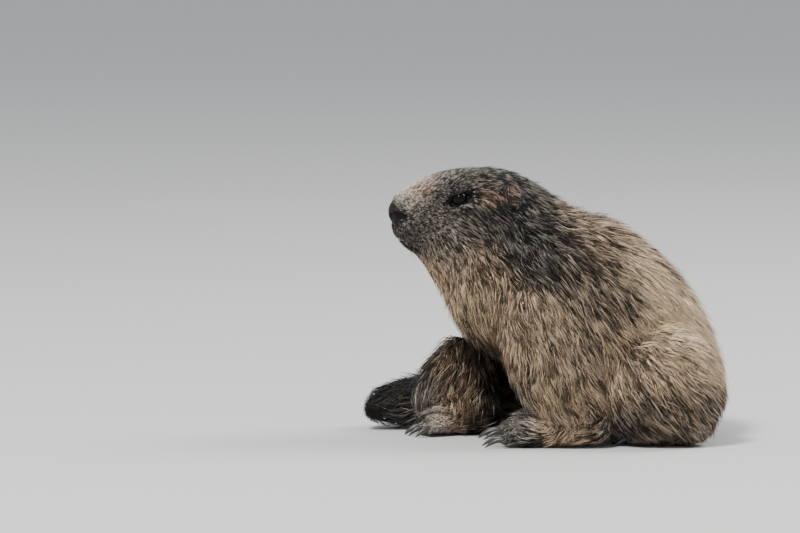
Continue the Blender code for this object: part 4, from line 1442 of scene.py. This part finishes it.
def floor_material(settings):
    material, tree, shader = shader_of("floor")
    colour = varied_colour(tree, noise_on(tree, 2), 0.98, 1.02, settings.floor_colour)
    feed(tree, shader, {"Base Color": colour, "Roughness": 0.9})
    return material


# Stage

def add_light(name, place, size, power):
    light = linked(name, bpy.data.lights.new(name, "AREA"))
    light.data.size = size
    light.data.energy = power
    light.location = place
    light.rotation_euler = (Vector(LIGHTS_AIM) - Vector(place)).to_track_quat("-Z", "Y").to_euler()


def make_stage(settings):
    """A plain floor, a soft studio light, and the camera at the photo's angle."""
    scene = bpy.context.scene
    edit = bmesh.new()
    bmesh.ops.create_grid(edit, x_segments=2, y_segments=2, size=60)
    mesh = bpy.data.meshes.new("floor")
    edit.to_mesh(mesh)
    edit.free()
    mesh.materials.append(floor_material(settings))
    linked("floor", mesh)
    world = bpy.data.worlds.new("studio")
    world.use_nodes = True
    sky = world.node_tree.nodes["Background"]
    feed(world.node_tree, sky, {"Color": SKY_COLOUR, "Strength": SKY_STRENGTH})
    scene.world = world
    for name, light in LIGHTS.items():
        add_light(name, *light)
    across, down = (np.array(MIDDLE_PX) - ORIGIN_PX) * PIXEL
    middle = Vector(to_scene((across, -SHIFT[1], -down)))
    away = Vector((0, -math.cos(settings.elevation), math.sin(settings.elevation)))
    camera = linked("camera", bpy.data.cameras.new("camera"))
    camera.data.lens = camera.data.sensor_width * settings.distance / settings.view_width
    camera.data.clip_end = 50
    camera.location = middle + away * settings.distance
    camera.rotation_euler = (-away).to_track_quat("-Z", "Y").to_euler()
    scene.camera = camera


# Operators and panel

class MARMOT_OT_skin(bpy.types.Operator):
    """Grow all forms of flesh into one skin with lids and lips"""
    bl_idname = "marmot.skin"
    bl_label = "Skin"

    def execute(self, context):
        make_skin(context.scene.marmot_body)
        return {"FINISHED"}


class MARMOT_OT_coat(bpy.types.Operator):
    """Cover the skin with tufts along the lie of the coat"""
    bl_idname = "marmot.coat"
    bl_label = "Coat"

    def execute(self, context):
        make_coat(context.scene.marmot_coat)
        return {"FINISHED"}


class MARMOT_OT_eyes(bpy.types.Operator):
    """Make both eyeballs"""
    bl_idname = "marmot.eyes"
    bl_label = "Eyes"

    def execute(self, context):
        make_eyes(context.scene.marmot_body)
        return {"FINISHED"}


class MARMOT_OT_nose(bpy.types.Operator):
    """Make the bare nose with its nostrils"""
    bl_idname = "marmot.nose"
    bl_label = "Nose"

    def execute(self, context):
        make_nose(context.scene.marmot_body)
        return {"FINISHED"}


class MARMOT_OT_claws(bpy.types.Operator):
    """Make the claws of all four paws"""
    bl_idname = "marmot.claws"
    bl_label = "Claws"

    def execute(self, context):
        make_claws(context.scene.marmot_body)
        return {"FINISHED"}


class MARMOT_OT_whiskers(bpy.types.Operator):
    """Set the whiskers on both sides of the muzzle"""
    bl_idname = "marmot.whiskers"
    bl_label = "Whiskers"

    def execute(self, context):
        make_whiskers(context.scene.marmot_body)
        return {"FINISHED"}


class MARMOT_OT_stage(bpy.types.Operator):
    """Add the floor, the lights and the camera"""
    bl_idname = "marmot.stage"
    bl_label = "Stage"

    def execute(self, context):
        make_stage(context.scene.marmot_stage)
        return {"FINISHED"}


OPERATORS = (
    MARMOT_OT_skin, MARMOT_OT_coat, MARMOT_OT_eyes, MARMOT_OT_nose, MARMOT_OT_claws, MARMOT_OT_whiskers,
    MARMOT_OT_stage,
)
SETTINGS = {"marmot_body": MarmotBody, "marmot_coat": MarmotCoat, "marmot_stage": MarmotStage}


class MARMOT_PT_sidebar(bpy.types.Panel):
    """Sizes, colours and steps of the marmot"""
    bl_idname = "MARMOT_PT_sidebar"
    bl_label = "Marmot"
    bl_space_type = "VIEW_3D"
    bl_region_type = "UI"
    bl_category = "Marmot"

    def draw(self, context):
        for name, group in SETTINGS.items():
            box = self.layout.box()
            for key in group.__annotations__:
                box.prop(getattr(context.scene, name), key)
        for operator in OPERATORS:
            self.layout.operator(operator.bl_idname)


def register():
    for item in (*SETTINGS.values(), *OPERATORS, MARMOT_PT_sidebar):
        bpy.utils.register_class(item)
    for name, group in SETTINGS.items():
        setattr(bpy.types.Scene, name, PointerProperty(type=group))


def unregister():
    for name in SETTINGS:
        delattr(bpy.types.Scene, name)
    for item in reversed((*SETTINGS.values(), *OPERATORS, MARMOT_PT_sidebar)):
        bpy.utils.unregister_class(item)


def main():
    register()
    bpy.ops.marmot.stage()
    bpy.ops.marmot.skin()
    bpy.ops.marmot.eyes()
    bpy.ops.marmot.nose()
    bpy.ops.marmot.claws()
    bpy.ops.marmot.whiskers()
    bpy.ops.marmot.coat()


if __name__ == "__main__":
    main()
